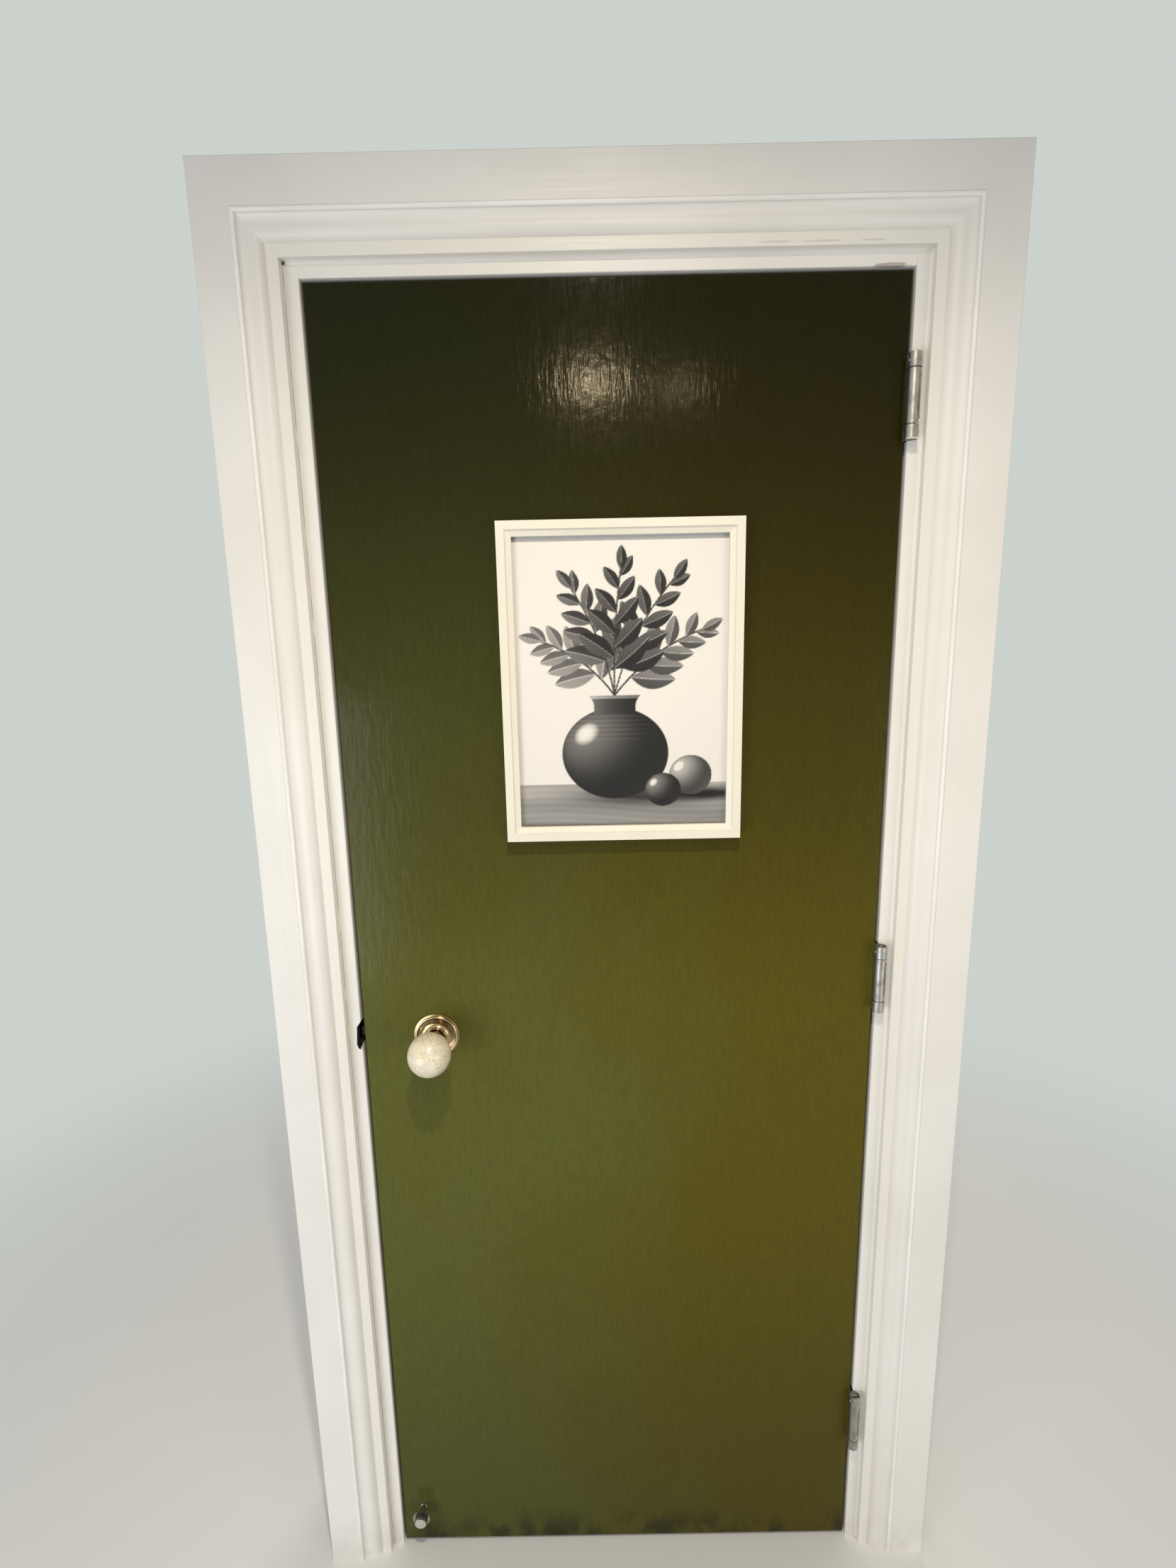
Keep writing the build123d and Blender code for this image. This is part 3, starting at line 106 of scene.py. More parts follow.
class Graph:
    """A material's node tree, with short ways to add nodes and join them."""

    # The Mix node's colour sockets share their names with its others, so they go by number.
    mix_inputs: tuple[int, int, int] = (0, 6, 7)
    mix_output: int = 2
    # The share of a mark's half width, and of a spot's radius, that is fully marked.
    mark_core: float = 0.4
    spot_core: float = 0.75
    # The noise that pushes a spot's edge, in cells over its radius, and cracks, over their own cells.
    spot_cells: float = 2.2
    crack_push: float = 0.7

    def __init__(self, name: str) -> None:
        """Starts a material that holds one Principled shader.

        Args:
            name: the material's name.
        """
        self.material = bpy.data.materials.new(name)
        self.material.use_nodes = True
        self.tree = self.material.node_tree
        self.tree.nodes.clear()
        self.shader = self.tree.nodes.new("ShaderNodeBsdfPrincipled")
        output = self.tree.nodes.new("ShaderNodeOutputMaterial")
        self.tree.links.new(self.shader.outputs[0], output.inputs[0])
        self.point = self.tree.nodes.new("ShaderNodeTexCoord").outputs["Object"]

    def plug(self, socket: Socket, value: object) -> None:
        """Joins a socket to another one, or writes a number or colour on it.

        Args:
            socket: the input socket.
            value: another node's output, a number, a vector or a colour.
        """
        if isinstance(value, bpy.types.NodeSocket):
            self.tree.links.new(value, socket)
        elif isinstance(value, tuple) and socket.type == "RGBA" and len(value) == 3:
            socket.default_value = (*value, 1.0)
        else:
            socket.default_value = value

    def set(self, **inputs: object) -> None:
        """Sets the shader's own sockets.

        Args:
            inputs: what goes in each socket, named in lower case with underscores.
        """
        for name, value in inputs.items():
            wanted = name.replace("_", " ")
            socket = next(s for s in self.shader.inputs if s.name.lower() == wanted)
            self.plug(socket, value)

    def node(self, kind: str, inputs: dict[int | str, object], **settings: object) -> bpy.types.Node:
        """Adds a node.

        Args:
            kind: the node's type, without its ShaderNode prefix.
            inputs: what goes in each socket, by its name or number.
            settings: the node's own settings.

        Returns:
            The new node.
        """
        made = self.tree.nodes.new("ShaderNode" + kind)
        for name, value in settings.items():
            setattr(made, name, value)
        for key, value in inputs.items():
            self.plug(made.inputs[key], value)
        return made

    def noise(self, cells: Place | float, detail: float = 3.0, roughness: float = 0.55) -> Socket:
        """Noise from 0 to 1.

        Args:
            cells: cells per metre on each axis, or one number for all three.
            detail: how many finer layers it has.
            roughness: how strong the finer layers are.

        Returns:
            The noise's socket.
        """
        scale = cells if isinstance(cells, tuple) else (cells,) * 3
        place = self.node("Mapping", {"Vector": self.point, "Scale": scale}).outputs[0]
        inputs = {"Vector": place, "Scale": 1.0, "Detail": detail, "Roughness": roughness}
        return self.node("TexNoise", inputs).outputs["Fac"]

    def cracks(self, cells: float, width: float, warp: float) -> Socket:
        """Lines between random cells: 1 on a line, 0 away from it.

        Args:
            cells: cells per metre.
            width: a line's width, as a share of a cell.
            warp: how far the cells are pushed out of true, in metres.

        Returns:
            The mask's socket.
        """
        push = self.node("TexNoise", {"Vector": self.point, "Scale": cells * self.crack_push, "Detail": 2.0})
        parts = {0: push.outputs["Color"], 1: (0.5, 0.5, 0.5)}
        centred = self.node("VectorMath", parts, operation="SUBTRACT")
        sized = self.node("VectorMath", {0: centred.outputs[0], "Scale": warp}, operation="SCALE")
        place = self.node("VectorMath", {0: self.point, 1: sized.outputs[0]}, operation="ADD").outputs[0]
        edges = self.node("TexVoronoi", {"Vector": place, "Scale": cells}, feature="DISTANCE_TO_EDGE")
        return self.span(edges.outputs[0], width, 0.0)

    def span(self, value: object, start: float, end: float, low: float = 0.0, high: float = 1.0) -> Socket:
        """Maps a value's stretch from start to end on to low to high, smoothly, and holds it beyond."""
        inputs = {0: value, 1: start, 2: end, 3: low, 4: high}
        return self.node("MapRange", inputs, interpolation_type="SMOOTHSTEP").outputs[0]

    def fold(self, operation: str, *values: object) -> Socket:
        """Joins values by one step of arithmetic, from the first to the last.

        Args:
            operation: the step, by its word in the Math node.
            values: numbers or sockets.

        Returns:
            The result's socket.
        """
        done = values[0]
        for value in values[1:]:
            done = self.node("Math", {0: done, 1: value}, operation=operation).outputs[0]
        return done

    def times(self, *values: object) -> Socket:
        """The product of several values."""
        return self.fold("MULTIPLY", *values)

    def plus(self, *values: object) -> Socket:
        """The sum of several values."""
        return self.fold("ADD", *values)

    def minus(self, value: object, less: object) -> Socket:
        """One value less another."""
        return self.fold("SUBTRACT", value, less)

    def most(self, *values: object) -> Socket:
        """The greatest of several values."""
        return self.fold("MAXIMUM", *values)

    def coordinate(self, axis: Axis) -> Socket:
        """One coordinate of the object's own point, in metres."""
        return self.node("SeparateXYZ", {0: self.point}).outputs[axis.value]

    def about(self, value: object, at: float, outer: float, inner: float) -> Socket:
        """1 where a value is within inner of a number, falling to 0 at outer from it."""
        off = self.node("Math", {0: self.minus(value, at)}, operation="ABSOLUTE").outputs[0]
        return self.span(off, outer, inner)

    def near(self, axis: Axis, at: float, half_width: float) -> Socket:
        """1 where a coordinate is at a number, falling to 0 at half_width from it."""
        return self.about(self.coordinate(axis), at, half_width, half_width * self.mark_core)

    def off_axis(self, x: float, z: float) -> Socket:
        """The distance from a line along Y, in metres: the root of dx squared plus dz squared.

        Args:
            x: where the line stands across the doorway.
            z: how high it lies.

        Returns:
            The distance's socket.
        """
        inputs = {"Vector": self.point, "Location": (-x, 0.0, -z), "Scale": (1.0, 0.0, 1.0)}
        return self.length(self.node("Mapping", inputs).outputs[0])

    def length(self, vector: Socket) -> Socket:
        """A vector's length."""
        return self.node("VectorMath", {0: vector}, operation="LENGTH").outputs["Value"]

    def stain(self, centre: Place, radii: Place, ragged: float = 0.5) -> Socket:
        """A ragged spot: 1 within an ellipsoid, 0 outside it.

        The point's offset from the centre is divided by the radii; the length of that, pushed about by
        noise, passes 1 at the spot's edge.

        Args:
            centre: the spot's middle, in metres.
            radii: how far it reaches on each axis, in metres.
            ragged: how much the noise moves its edge, as a share of the radii.

        Returns:
            The mask's socket.
        """
        scale = tuple(1.0 / r for r in radii)
        shift = tuple(-c / r for c, r in zip(centre, radii))
        place = self.node("Mapping", {"Vector": self.point, "Scale": scale, "Location": shift}).outputs[0]
        inputs = {"Vector": place, "Scale": self.spot_cells, "Detail": 3.0}
        edge = self.node("TexNoise", inputs).outputs["Fac"]
        pushed = self.plus(self.length(place), self.times(self.minus(edge, 0.5), ragged * 2.0))
        return self.span(pushed, 1.0, self.spot_core)

    def inside(self, low: Place, high: Place, soft: float) -> Socket:
        """1 within a box, falling to 0 over a soft edge outside it, as the product of its six sides.

        Args:
            low: the box's lowest corner, in metres.
            high: its highest corner.
            soft: the width of the soft edge.

        Returns:
            The mask's socket.
        """
        place = self.node("SeparateXYZ", {0: self.point})
        sides = [self.span(place.outputs[i], low[i] - soft, low[i]) for i in range(3)]
        sides += [self.span(place.outputs[i], high[i] + soft, high[i]) for i in range(3)]
        return self.times(*sides)

    def blend(self, share: object, under: object, over: object, lay: Lay = Lay.OVER) -> Socket:
        """Lays one colour on another.

        Args:
            share: how much of it is laid on, from 0 to 1.
            under: the colour below.
            over: the colour on top.
            lay: how it is laid on.

        Returns:
            The new colour's socket.
        """
        made = self.node("Mix", {}, data_type="RGBA", blend_type=lay.value)
        for number, value in zip(self.mix_inputs, (share, under, over)):
            self.plug(made.inputs[number], value)
        return made.outputs[self.mix_output]

    def relief(self, *layers: tuple[object, float]) -> None:
        """Bumps the surface by several heights.

        Args:
            layers: pairs of a height from 0 to 1 and how many metres its full height stands.
        """
        normal = None
        for height, depth in layers:
            inputs = {"Height": height, "Distance": depth, "Strength": 1.0}
            if normal is not None:
                inputs["Normal"] = normal
            normal = self.node("Bump", inputs).outputs[0]
        self.set(normal=normal)


class Finish:
    """A finish, which each kind lays on a new material in its own way.

    Numbers of cells are per metre: on X, Y and Z, or across the strokes and along them. A ramp has the
    values where it starts and ends and, unless these are 0 and 1, what they become.
    """

    def material(self, name: str) -> bpy.types.Material:
        """Makes the material.

        Args:
            name: the material's name.

        Returns:
            The new material.
        """
        g = Graph(name)
        self.lay(g)
        return g.material

    def lay(self, g: Graph) -> None:
        """Sets the shader's sockets on a material's graph."""
        raise NotImplementedError


@dataclass(frozen=True)
class SeamShade:
    """A dark line of painted shade where a coordinate is at a value, standing for the shade in a joint,
    broken up by gaps.
    """

    axis: Axis
    at: float
    half_width: float
    share: float
    broken: float = 0.3
    soft: float = 0.18


@dataclass(frozen=True)
class Spot:
    """A ragged mark in the paint."""

    centre: Place
    radii: Place
    colour: Colour
    share: float = 0.8


@dataclass(frozen=True)
class Band:
    """A strip in another tone, between two values of one coordinate, for paint of another tone and for a
    painted highlight.
    """

    axis: Axis
    start: float
    end: float
    colour: Colour = (0.780, 0.755, 0.690)
    soft: float = 1.5 * MM


@dataclass(frozen=True)
class WhiteGloss(Finish):
    """White gloss paint laid on with a brush: soft strokes, warm clouds, caulked joints and grime, lines of
    painted shade along joints, and bands, cream ones and painted highlights.
    """

    along: Axis
    colour: Colour = (0.795, 0.777, 0.738)
    shade: Colour = (0.745, 0.722, 0.680)
    grime: Colour = (0.40, 0.36, 0.31)
    # The colour of the painted shade along joints.
    dark: Colour = (0.055, 0.045, 0.038)
    bands: tuple[Band, ...] = ()
    seam_shades: tuple[SeamShade, ...] = ()
    spots: tuple[Spot, ...] = ()
    cloud_cells: float = 4.0
    cloud_ramp: Ramp = (0.35, 0.7)
    band_cells: Pair = (60.0, 9.0)
    band_ramp: Ramp = (0.35, 0.7, 0.35, 0.95)
    gap_cells: Pair = (3.0, 24.0)
    stroke_cells: Pair = (520.0, 9.0)
    stroke_depth: float = 0.07 * MM
    gloss_ramp: Ramp = (0.3, 0.7, 0.34, 0.48)
    ripple_cells: Pair = (70.0, 12.0)
    ripple_depth: float = 0.30 * MM
    nib_cells: float = 230.0
    nib_ramp: Ramp = (0.70, 0.80)
    nib_depth: float = 0.12 * MM
    dirt_cells: Place = (24.0, 24.0, 14.0)
    dirt_ramp: Ramp = (0.38, 0.68)
    dirt_height: float = 90.0 * MM
    dirt_share: float = 0.30

    def colours(self, g: Graph) -> Socket:
        """The paint's colour: clouds, cream bands and painted highlights, lines of painted shade along
        joints, spots and floor grime, one over another.

        Args:
            g: the material's graph.

        Returns:
            The colour's socket.
        """
        tint = g.blend(g.span(g.noise(self.cloud_cells), *self.cloud_ramp), self.colour, self.shade)
        for band in self.bands:
            place = g.coordinate(band.axis)
            low, high = band.start - band.soft, band.end + band.soft
            inside = g.times(g.span(place, low, band.start), g.span(place, high, band.end))
            patchy = g.span(g.noise(self.along.strokes(*self.band_cells)), *self.band_ramp)
            tint = g.blend(g.times(inside, patchy), tint, band.colour)
        # Painted shade: a dark line along each joint, where shade falls between the parts.
        for seam in self.seam_shades:
            breaks = g.noise(self.along.strokes(*self.gap_cells))
            whole = g.span(breaks, seam.broken, seam.broken + seam.soft)
            line = g.times(g.near(seam.axis, seam.at, seam.half_width), whole, seam.share)
            tint = g.blend(line, tint, self.dark)
        for spot in self.spots:
            tint = g.blend(g.times(g.stain(spot.centre, spot.radii), spot.share), tint, spot.colour)
        low = g.span(g.coordinate(Axis.Z), self.dirt_height, 0.0)
        patches = g.span(g.noise(self.dirt_cells, 4.0), *self.dirt_ramp)
        return g.blend(g.times(low, patches, self.dirt_share), tint, self.grime)

    def strokes(self, g: Graph) -> tuple[Socket, Socket]:
        """The brush's strokes and the roughness that they leave."""
        lines = g.noise(self.along.strokes(*self.stroke_cells), 4.0, 0.6)
        return lines, g.span(lines, *self.gloss_ramp)

    def lay(self, g: Graph) -> None:
        """Lays on the paint, with nibs of dust, fine strokes and broad ripples in its skin.

        Args:
            g: the material's graph.
        """
        lines, rough = self.strokes(g)
        ripple = g.noise(self.along.strokes(*self.ripple_cells), 2.0)
        nibs = g.span(g.noise(self.nib_cells, 1.0), *self.nib_ramp)
        g.set(base_color=self.colours(g), roughness=rough, specular_ior_level=0.42)
        g.relief((nibs, self.nib_depth), (lines, self.stroke_depth), (ripple, self.ripple_depth))


@dataclass(frozen=True)
class ChoppedJamb(Finish):
    """The latch jamb's paint, with the bare timber in the notch that the bolt has worn, near black as dark
    timber and as painted shade in the hole.
    """

    paint: WhiteGloss
    low: Place
    high: Place
    timber: Colour = (0.060, 0.040, 0.026)
    dark_fibre_and_shade: Colour = (0.010, 0.008, 0.007)
    fibre_cells: Place = (900.0, 900.0, 130.0)
    fibre_ramp: Ramp = (0.42, 0.72)
    fibre_depth: float = 1.2 * MM
    soft: float = 0.25 * MM
    rougher: float = 0.5

    def lay(self, g: Graph) -> None:
        """Lays on the paint outside the notch's box, and rough fibres inside it, near black as dark timber
        and painted shade.

        Args:
            g: the material's graph.
        """
        fibres = g.noise(self.fibre_cells, 4.0, 0.7)
        # Painted shade: the timber in the notch is near black, the shade of the hole laid over the dark
        # wood.
        wood = g.blend(g.span(fibres, *self.fibre_ramp), self.dark_fibre_and_shade, self.timber)
        bare = g.inside(self.low, self.high, self.soft)
        lines, gloss = self.paint.strokes(g)
        rough = g.plus(g.times(bare, self.rougher), gloss)
        g.set(base_color=g.blend(bare, self.paint.colours(g), wood), roughness=rough, specular_ior_level=0.4)
        g.relief((g.times(fibres, bare), self.fibre_depth), (lines, self.paint.stroke_depth))


@dataclass(frozen=True)
class OliveSatin(Finish):
    """Dark olive satin paint, rolled and brushed upright, with an orange-peel skin.

    Each of the tones, painted shade that darkens the leaf towards its top and its foot, has two heights and
    the share of the colour that is left at each.
    """

    half_width: float
    height: float
    colour: Colour = (0.103, 0.109, 0.0240)
    brown: Colour = (0.099, 0.082, 0.0075)
    # Dark scuffs, also laid on as painted shade in the peel's hollows and along the front edges.
    scuff_and_shade: Colour = (0.022, 0.019, 0.008)
    # Painted shade by height: darkest at the top, darker at the foot.
    tones: tuple[tuple[float, float, float, float], ...] = (
        (1.0, 2.0, 1.0, 0.18),
        (0.95, 1.35, 1.0, 0.78),
        (0.0, 0.8, 0.68, 1.0),
    )
    cloud_cells: Place = (2.6, 2.6, 1.8)
    side_weight: float = 0.9
    side_ramp: Ramp = (0.15, 0.75)
    peel_cells: Place = (330.0, 330.0, 46.0)
    peel_shade_ramp: Ramp = (0.60, 0.40, 0.0, 0.12)
    peel_depth: float = 0.11 * MM
    gloss_ramp: Ramp = (0.3, 0.7, 0.11, 0.15)
    broad_cells: Place = (140.0, 140.0, 24.0)
    broad_depth: float = 0.26 * MM
    cross_cells: Place = (70.0, 70.0, 80.0)
    cross_depth: float = 0.16 * MM
    fine_cells: Place = (1100.0, 1100.0, 420.0)
    fine_depth: float = 0.012 * MM
    foot_cells: Place = (22.0, 22.0, 12.0)
    foot_ramp: Ramp = (0.40, 0.62)
    foot: Pair = (75.0 * MM, 8.0 * MM)
    foot_share: float = 0.85
    rim: float = 2.2 * MM
    rim_share: float = 0.8
    front: Pair = (6.5 * MM, 5.0 * MM)

    def lay(self, g: Graph) -> None:
        """Lays on the paint: browner towards the hinges, with painted shade that deepens it above and below
        and in the hollows of its peel, scuffed and darkened with painted shade round its front edges, and
        darker in patches at its foot.

        Args:
            g: the material's graph.
        """
        peel, broad = g.noise(self.peel_cells, 3.0, 0.6), g.noise(self.broad_cells, 2.0, 0.5)
        cross, fine = g.noise(self.cross_cells, 2.0, 0.5), g.noise(self.fine_cells, 2.0)
        across = g.plus(g.times(g.coordinate(Axis.X), self.side_weight), g.noise(self.cloud_cells))
        tint = g.blend(g.span(across, *self.side_ramp), self.colour, self.brown)
        # Painted shade: the orange peel's hollows are darkened.
        tint = g.blend(g.span(peel, *self.peel_shade_ramp), tint, self.scuff_and_shade)
        height = g.coordinate(Axis.Z)
        # Painted shade: the colour is darkened towards the top and the foot, and left whole from 0.8 to 0.95
        # metres up.
        painted_shade = g.times(*(g.span(height, *tone) for tone in self.tones))
        grey = g.node("CombineXYZ", {0: painted_shade, 1: painted_shade, 2: painted_shade}).outputs[0]
        tint = g.blend(1.0, tint, grey, Lay.TIMES)
        # Darker patches towards the foot.
        patches = g.span(g.noise(self.foot_cells), *self.foot_ramp)
        foot = g.times(g.span(height, *self.foot), patches, self.foot_share)
        # Painted shade along the leaf's front edges, by the gaps round it, with scuffs.
        edges = ((Axis.X, self.half_width), (Axis.X, -self.half_width), (Axis.Z, self.height))
        rim = g.most(*(g.near(axis, at, self.rim) for axis, at in edges))
        front = g.span(g.coordinate(Axis.Y), *self.front)
        tint = g.blend(g.most(foot, g.times(rim, front, self.rim_share)), tint, self.scuff_and_shade)
        g.set(base_color=tint, roughness=g.span(peel, *self.gloss_ramp), specular_ior_level=0.10)
        g.relief((fine, self.fine_depth), (peel, self.peel_depth), (broad, self.broad_depth),
                 (cross, self.cross_depth))


@dataclass(frozen=True)
class BareTimber(Finish):
    """Unpainted timber or board, with its grain along one axis."""

    along: Axis
    colour: Colour = (0.50, 0.35, 0.20)
    dark: Colour = (0.34, 0.22, 0.11)
    grain_cells: Pair = (150.0, 3.0)
    grain_ramp: Ramp = (0.35, 0.65)
    grain_depth: float = 0.1 * MM
    fleck_cells: Pair = (900.0, 40.0)
    fleck_depth: float = 0.05 * MM
    rough_ramp: Ramp = (0.3, 0.7, 0.62, 0.80)

    def lay(self, g: Graph) -> None:
        """Lays on dark grain and fine flecks.

        Args:
            g: the material's graph.
        """
        grain = g.noise(self.along.strokes(*self.grain_cells), 5.0, 0.6)
        fleck = g.noise(self.along.strokes(*self.fleck_cells), 2.0)
        tint = g.blend(g.span(grain, *self.grain_ramp), self.colour, self.dark)
        g.set(base_color=tint, roughness=g.span(fleck, *self.rough_ramp), specular_ior_level=0.3)
        g.relief((grain, self.grain_depth), (fleck, self.fleck_depth))


@dataclass(frozen=True)
class Metal(Finish):
    """A metal with a worn finish: fine scratches and cloudy tarnish."""

    colour: Colour
    tarnish: Colour
    roughness: Pair
    tarnish_share: float = 0.5
    cloud_cells: float = 120.0
    cloud_range: Pair = (0.42, 0.68)
    scratch_cells: float = 3000.0
    scratch_drawn: float = 0.04
    scratch_share: float = 0.5
    gloss_range: Pair = (0.35, 0.65)
    depth: float = 0.02 * MM

    def lay(self, g: Graph) -> None:
        """Lays on the tarnish, and upright scratches in the gloss.

        Args:
            g: the material's graph.
        """
        clouds = g.noise(self.cloud_cells, 4.0, 0.6)
        lines = g.noise(Axis.Z.strokes(self.scratch_cells, self.scratch_cells * self.scratch_drawn))
        share = g.span(clouds, *self.cloud_range, 0.0, self.tarnish_share)
        mixed = g.plus(g.times(lines, self.scratch_share), g.times(clouds, 1.0 - self.scratch_share))
        g.set(base_color=g.blend(share, self.colour, self.tarnish), metallic=1.0)
        g.set(roughness=g.span(mixed, *self.gloss_range, *self.roughness))
        g.relief((lines, self.depth))


@dataclass(frozen=True)
class SatinPlate(Finish):
    """Dull nickel plate, with a thin dark line of painted shade at each height where knuckles meet."""

    joints: tuple[float, ...]
    colour: Colour = (0.45, 0.435, 0.41)
    tarnish: Colour = (0.17, 0.16, 0.15)
    # The colour of the painted shade in the knuckles' joints.
    dark: Colour = (0.018, 0.016, 0.015)
    cloud_cells: Place = (110.0, 110.0, 60.0)
    cloud_ramp: Ramp = (0.40, 0.68, 0.0, 0.6)
    scratch_cells: Place = (500.0, 500.0, 2600.0)
    scratch_share: float = 0.4
    scratch_depth: float = 0.015 * MM
    rough_ramp: Ramp = (0.35, 0.65, 0.30, 0.46)
    joint: float = 0.75 * MM
    joint_shade_share: float = 0.85

    def lay(self, g: Graph) -> None:
        """Lays on the plate's clouds, its level scratches and the joints' dark lines of painted shade.

        Args:
            g: the material's graph.
        """
        clouds = g.noise(self.cloud_cells, 4.0, 0.6)
        lines = g.noise(self.scratch_cells)
        tint = g.blend(g.span(clouds, *self.cloud_ramp), self.colour, self.tarnish)
        # Painted shade: a dark line in the gap where the knuckles meet.
        dust = g.most(*(g.near(Axis.Z, height, self.joint) for height in self.joints))
        tint = g.blend(g.times(dust, self.joint_shade_share), tint, self.dark)
        mixed = g.plus(g.times(lines, self.scratch_share), g.times(clouds, 1.0 - self.scratch_share))
        g.set(base_color=tint, metallic=1.0, roughness=g.span(mixed, *self.rough_ramp))
        g.relief((lines, self.scratch_depth))


@dataclass(frozen=True)
class AntiqueBrass(Finish):
    """Turned brass with a brown patina, rubbed bright along its rim, and dark in its hollows.

    Its tones are rings by the distance from the spindle's axis.
    """

    x: float
    z: float
    rim: float
    hollow: float
    colour: Colour = (0.56, 0.405, 0.21)
    patina: Colour = (0.27, 0.18, 0.088)
    dark: Colour = (0.055, 0.034, 0.020)
    rubbed: Colour = (0.86, 0.74, 0.56)
    cloud_cells: float = 42.0
    cloud_ramp: Ramp = (0.36, 0.66, 0.0, 0.55)
    rough_ramp: Ramp = (0.3, 0.7, 0.17, 0.27)
    pit_cells: float = 900.0
    pit_depth: float = 0.008 * MM
    edge: Pair = (1.0 * MM, 0.35 * MM)
    edge_share: float = 0.85
    ditch_in: float = 2.2 * MM
    ditch: Pair = (1.5 * MM, 0.3 * MM)
    ditch_share: float = 0.6
    foot: float = 2.6 * MM
    foot_share: float = 0.45
    outside: Pair = (0.9 * MM, 1.6 * MM)
    outside_share: float = 0.55

    def lay(self, g: Graph) -> None:
        """Lays on the patina, the rubbed rim, the ditch within it, the dark foot and the outer edge.

        Args:
            g: the material's graph.
        """
        radius = g.off_axis(self.x, self.z)
        clouds = g.noise(self.cloud_cells, 3.0, 0.5)
        tint = g.blend(g.span(clouds, *self.cloud_ramp), self.colour, self.patina)
        rim = g.about(radius, self.rim, *self.edge)
        ditch = g.about(radius, self.rim - self.ditch_in, *self.ditch)
        foot = g.span(radius, self.hollow + self.foot, self.hollow)
        outside = g.span(radius, *(self.rim + step for step in self.outside))
        for mask, share, tone in (
            (rim, self.edge_share, self.rubbed),
            (ditch, self.ditch_share, self.dark),
            (foot, self.foot_share, self.dark),
            (outside, self.outside_share, self.patina),
        ):
            tint = g.blend(g.times(mask, share), tint, tone)
        g.set(base_color=tint, metallic=1.0, roughness=g.span(clouds, *self.rough_ramp))
        g.relief((g.noise(self.pit_cells, 2.0), self.pit_depth))


@dataclass(frozen=True)
class CrackleGlaze(Finish):
    """Cream ceramic under a clear glaze, with a fine faint net of stained cracks.

    Each net has its cells, its lines' width as a share of a cell, and how far it is pushed out of true.
    """

    colour: Colour = (0.860, 0.765, 0.560)
    pale: Colour = (0.880, 0.815, 0.650)
    crack: Colour = (0.13, 0.085, 0.05)
    wide_net: Place = (200.0, 0.038, 3.2 * MM)
    fine_net: Place = (400.0, 0.055, 2.0 * MM)
    crack_depth: float = 0.012 * MM
    tone_cells: float = 55.0
    tone_ramp: Ramp = (0.35, 0.65)
    broken_cells: float = 90.0
    broken_ramp: Ramp = (0.40, 0.58, 0.25, 0.85)
    patch_cells: float = 46.0
    patch_ramp: Ramp = (0.36, 0.64, 0.5, 1.0)
    rough_ramp: Ramp = (0.0, 1.0, 0.26, 0.40)

    def lay(self, g: Graph) -> None:
        """Lays on the glaze: two nets of cell edges, stronger in some patches than in others.

        Args:
            g: the material's graph.
        """
        body = g.blend(g.span(g.noise(self.tone_cells, 2.0), *self.tone_ramp), self.colour, self.pale)
        wide, fine = g.cracks(*self.wide_net), g.cracks(*self.fine_net)
        broken = g.span(g.noise(self.broken_cells, 2.0), *self.broken_ramp)
        lines = g.most(wide, g.times(fine, broken))
        patches = g.span(g.noise(self.patch_cells, 2.0), *self.patch_ramp)
        g.set(base_color=g.blend(g.times(lines, patches), body, self.crack))
        g.set(roughness=g.span(lines, *self.rough_ramp), coat_weight=0.3, coat_roughness=0.16)
        g.set(subsurface_weight=0.1, subsurface_scale=3.0 * MM)
        g.relief((g.minus(1.0, lines), self.crack_depth))


@dataclass(frozen=True)
class Plain(Finish):
    """A simple finish with faint mottling, for rubber, foam and springs."""

    colour: Colour
    other: Colour
    roughness: float
    cells: float = 300.0
    ramp: Ramp = (0.35, 0.65)
    depth: float = 0.03 * MM
    metallic: float = 0.0

    def lay(self, g: Graph) -> None:
        """Lays on the mottling.

        Args:
            g: the material's graph.
        """
        mottle = g.noise(self.cells)
        g.set(base_color=g.blend(g.span(mottle, *self.ramp), self.colour, self.other))
        g.set(metallic=self.metallic, roughness=self.roughness)
        g.relief((mottle, self.depth))


@dataclass(frozen=True)
class PrintedPaper(Finish):
    """White paper printed in black from a piece's own attribute of tone."""

    attribute: str
    paper: Colour = (0.785, 0.770, 0.755)
    ink: Colour = (0.011, 0.009, 0.009)
    grain_cells: float = 2600.0
    grain_depth: float = 0.01 * MM
    dust: float = 0.10

    def lay(self, g: Graph) -> None:
        """Lays on the print, dusted with the paper's grain.

        Args:
            g: the material's graph.
        """
        tone = g.node("Attribute", {}, attribute_name=self.attribute).outputs["Fac"]
        grain = g.noise(self.grain_cells, 1.0)
        dusted = g.plus(tone, g.times(g.minus(grain, 0.5), self.dust))
        g.set(base_color=g.blend(g.span(dusted, 0.0, 1.0), self.ink, self.paper), roughness=0.5)
        g.relief((grain, self.grain_depth))


@dataclass(frozen=True)
class ClearGlass(Finish):
    """The picture's glass, thin and clear."""

    tint: Colour = (0.985, 0.995, 0.99)
    smear_cells: Place = (14.0, 14.0, 40.0)
    smear_ramp: Ramp = (0.5, 0.85, 0.0, 0.04)

    def lay(self, g: Graph) -> None:
        """Makes the glass clear, with faint wiped smears in its gloss."""
        smears = g.span(g.noise(self.smear_cells), *self.smear_ramp)
        g.set(base_color=self.tint, roughness=smears, transmission_weight=1.0, ior=1.33)


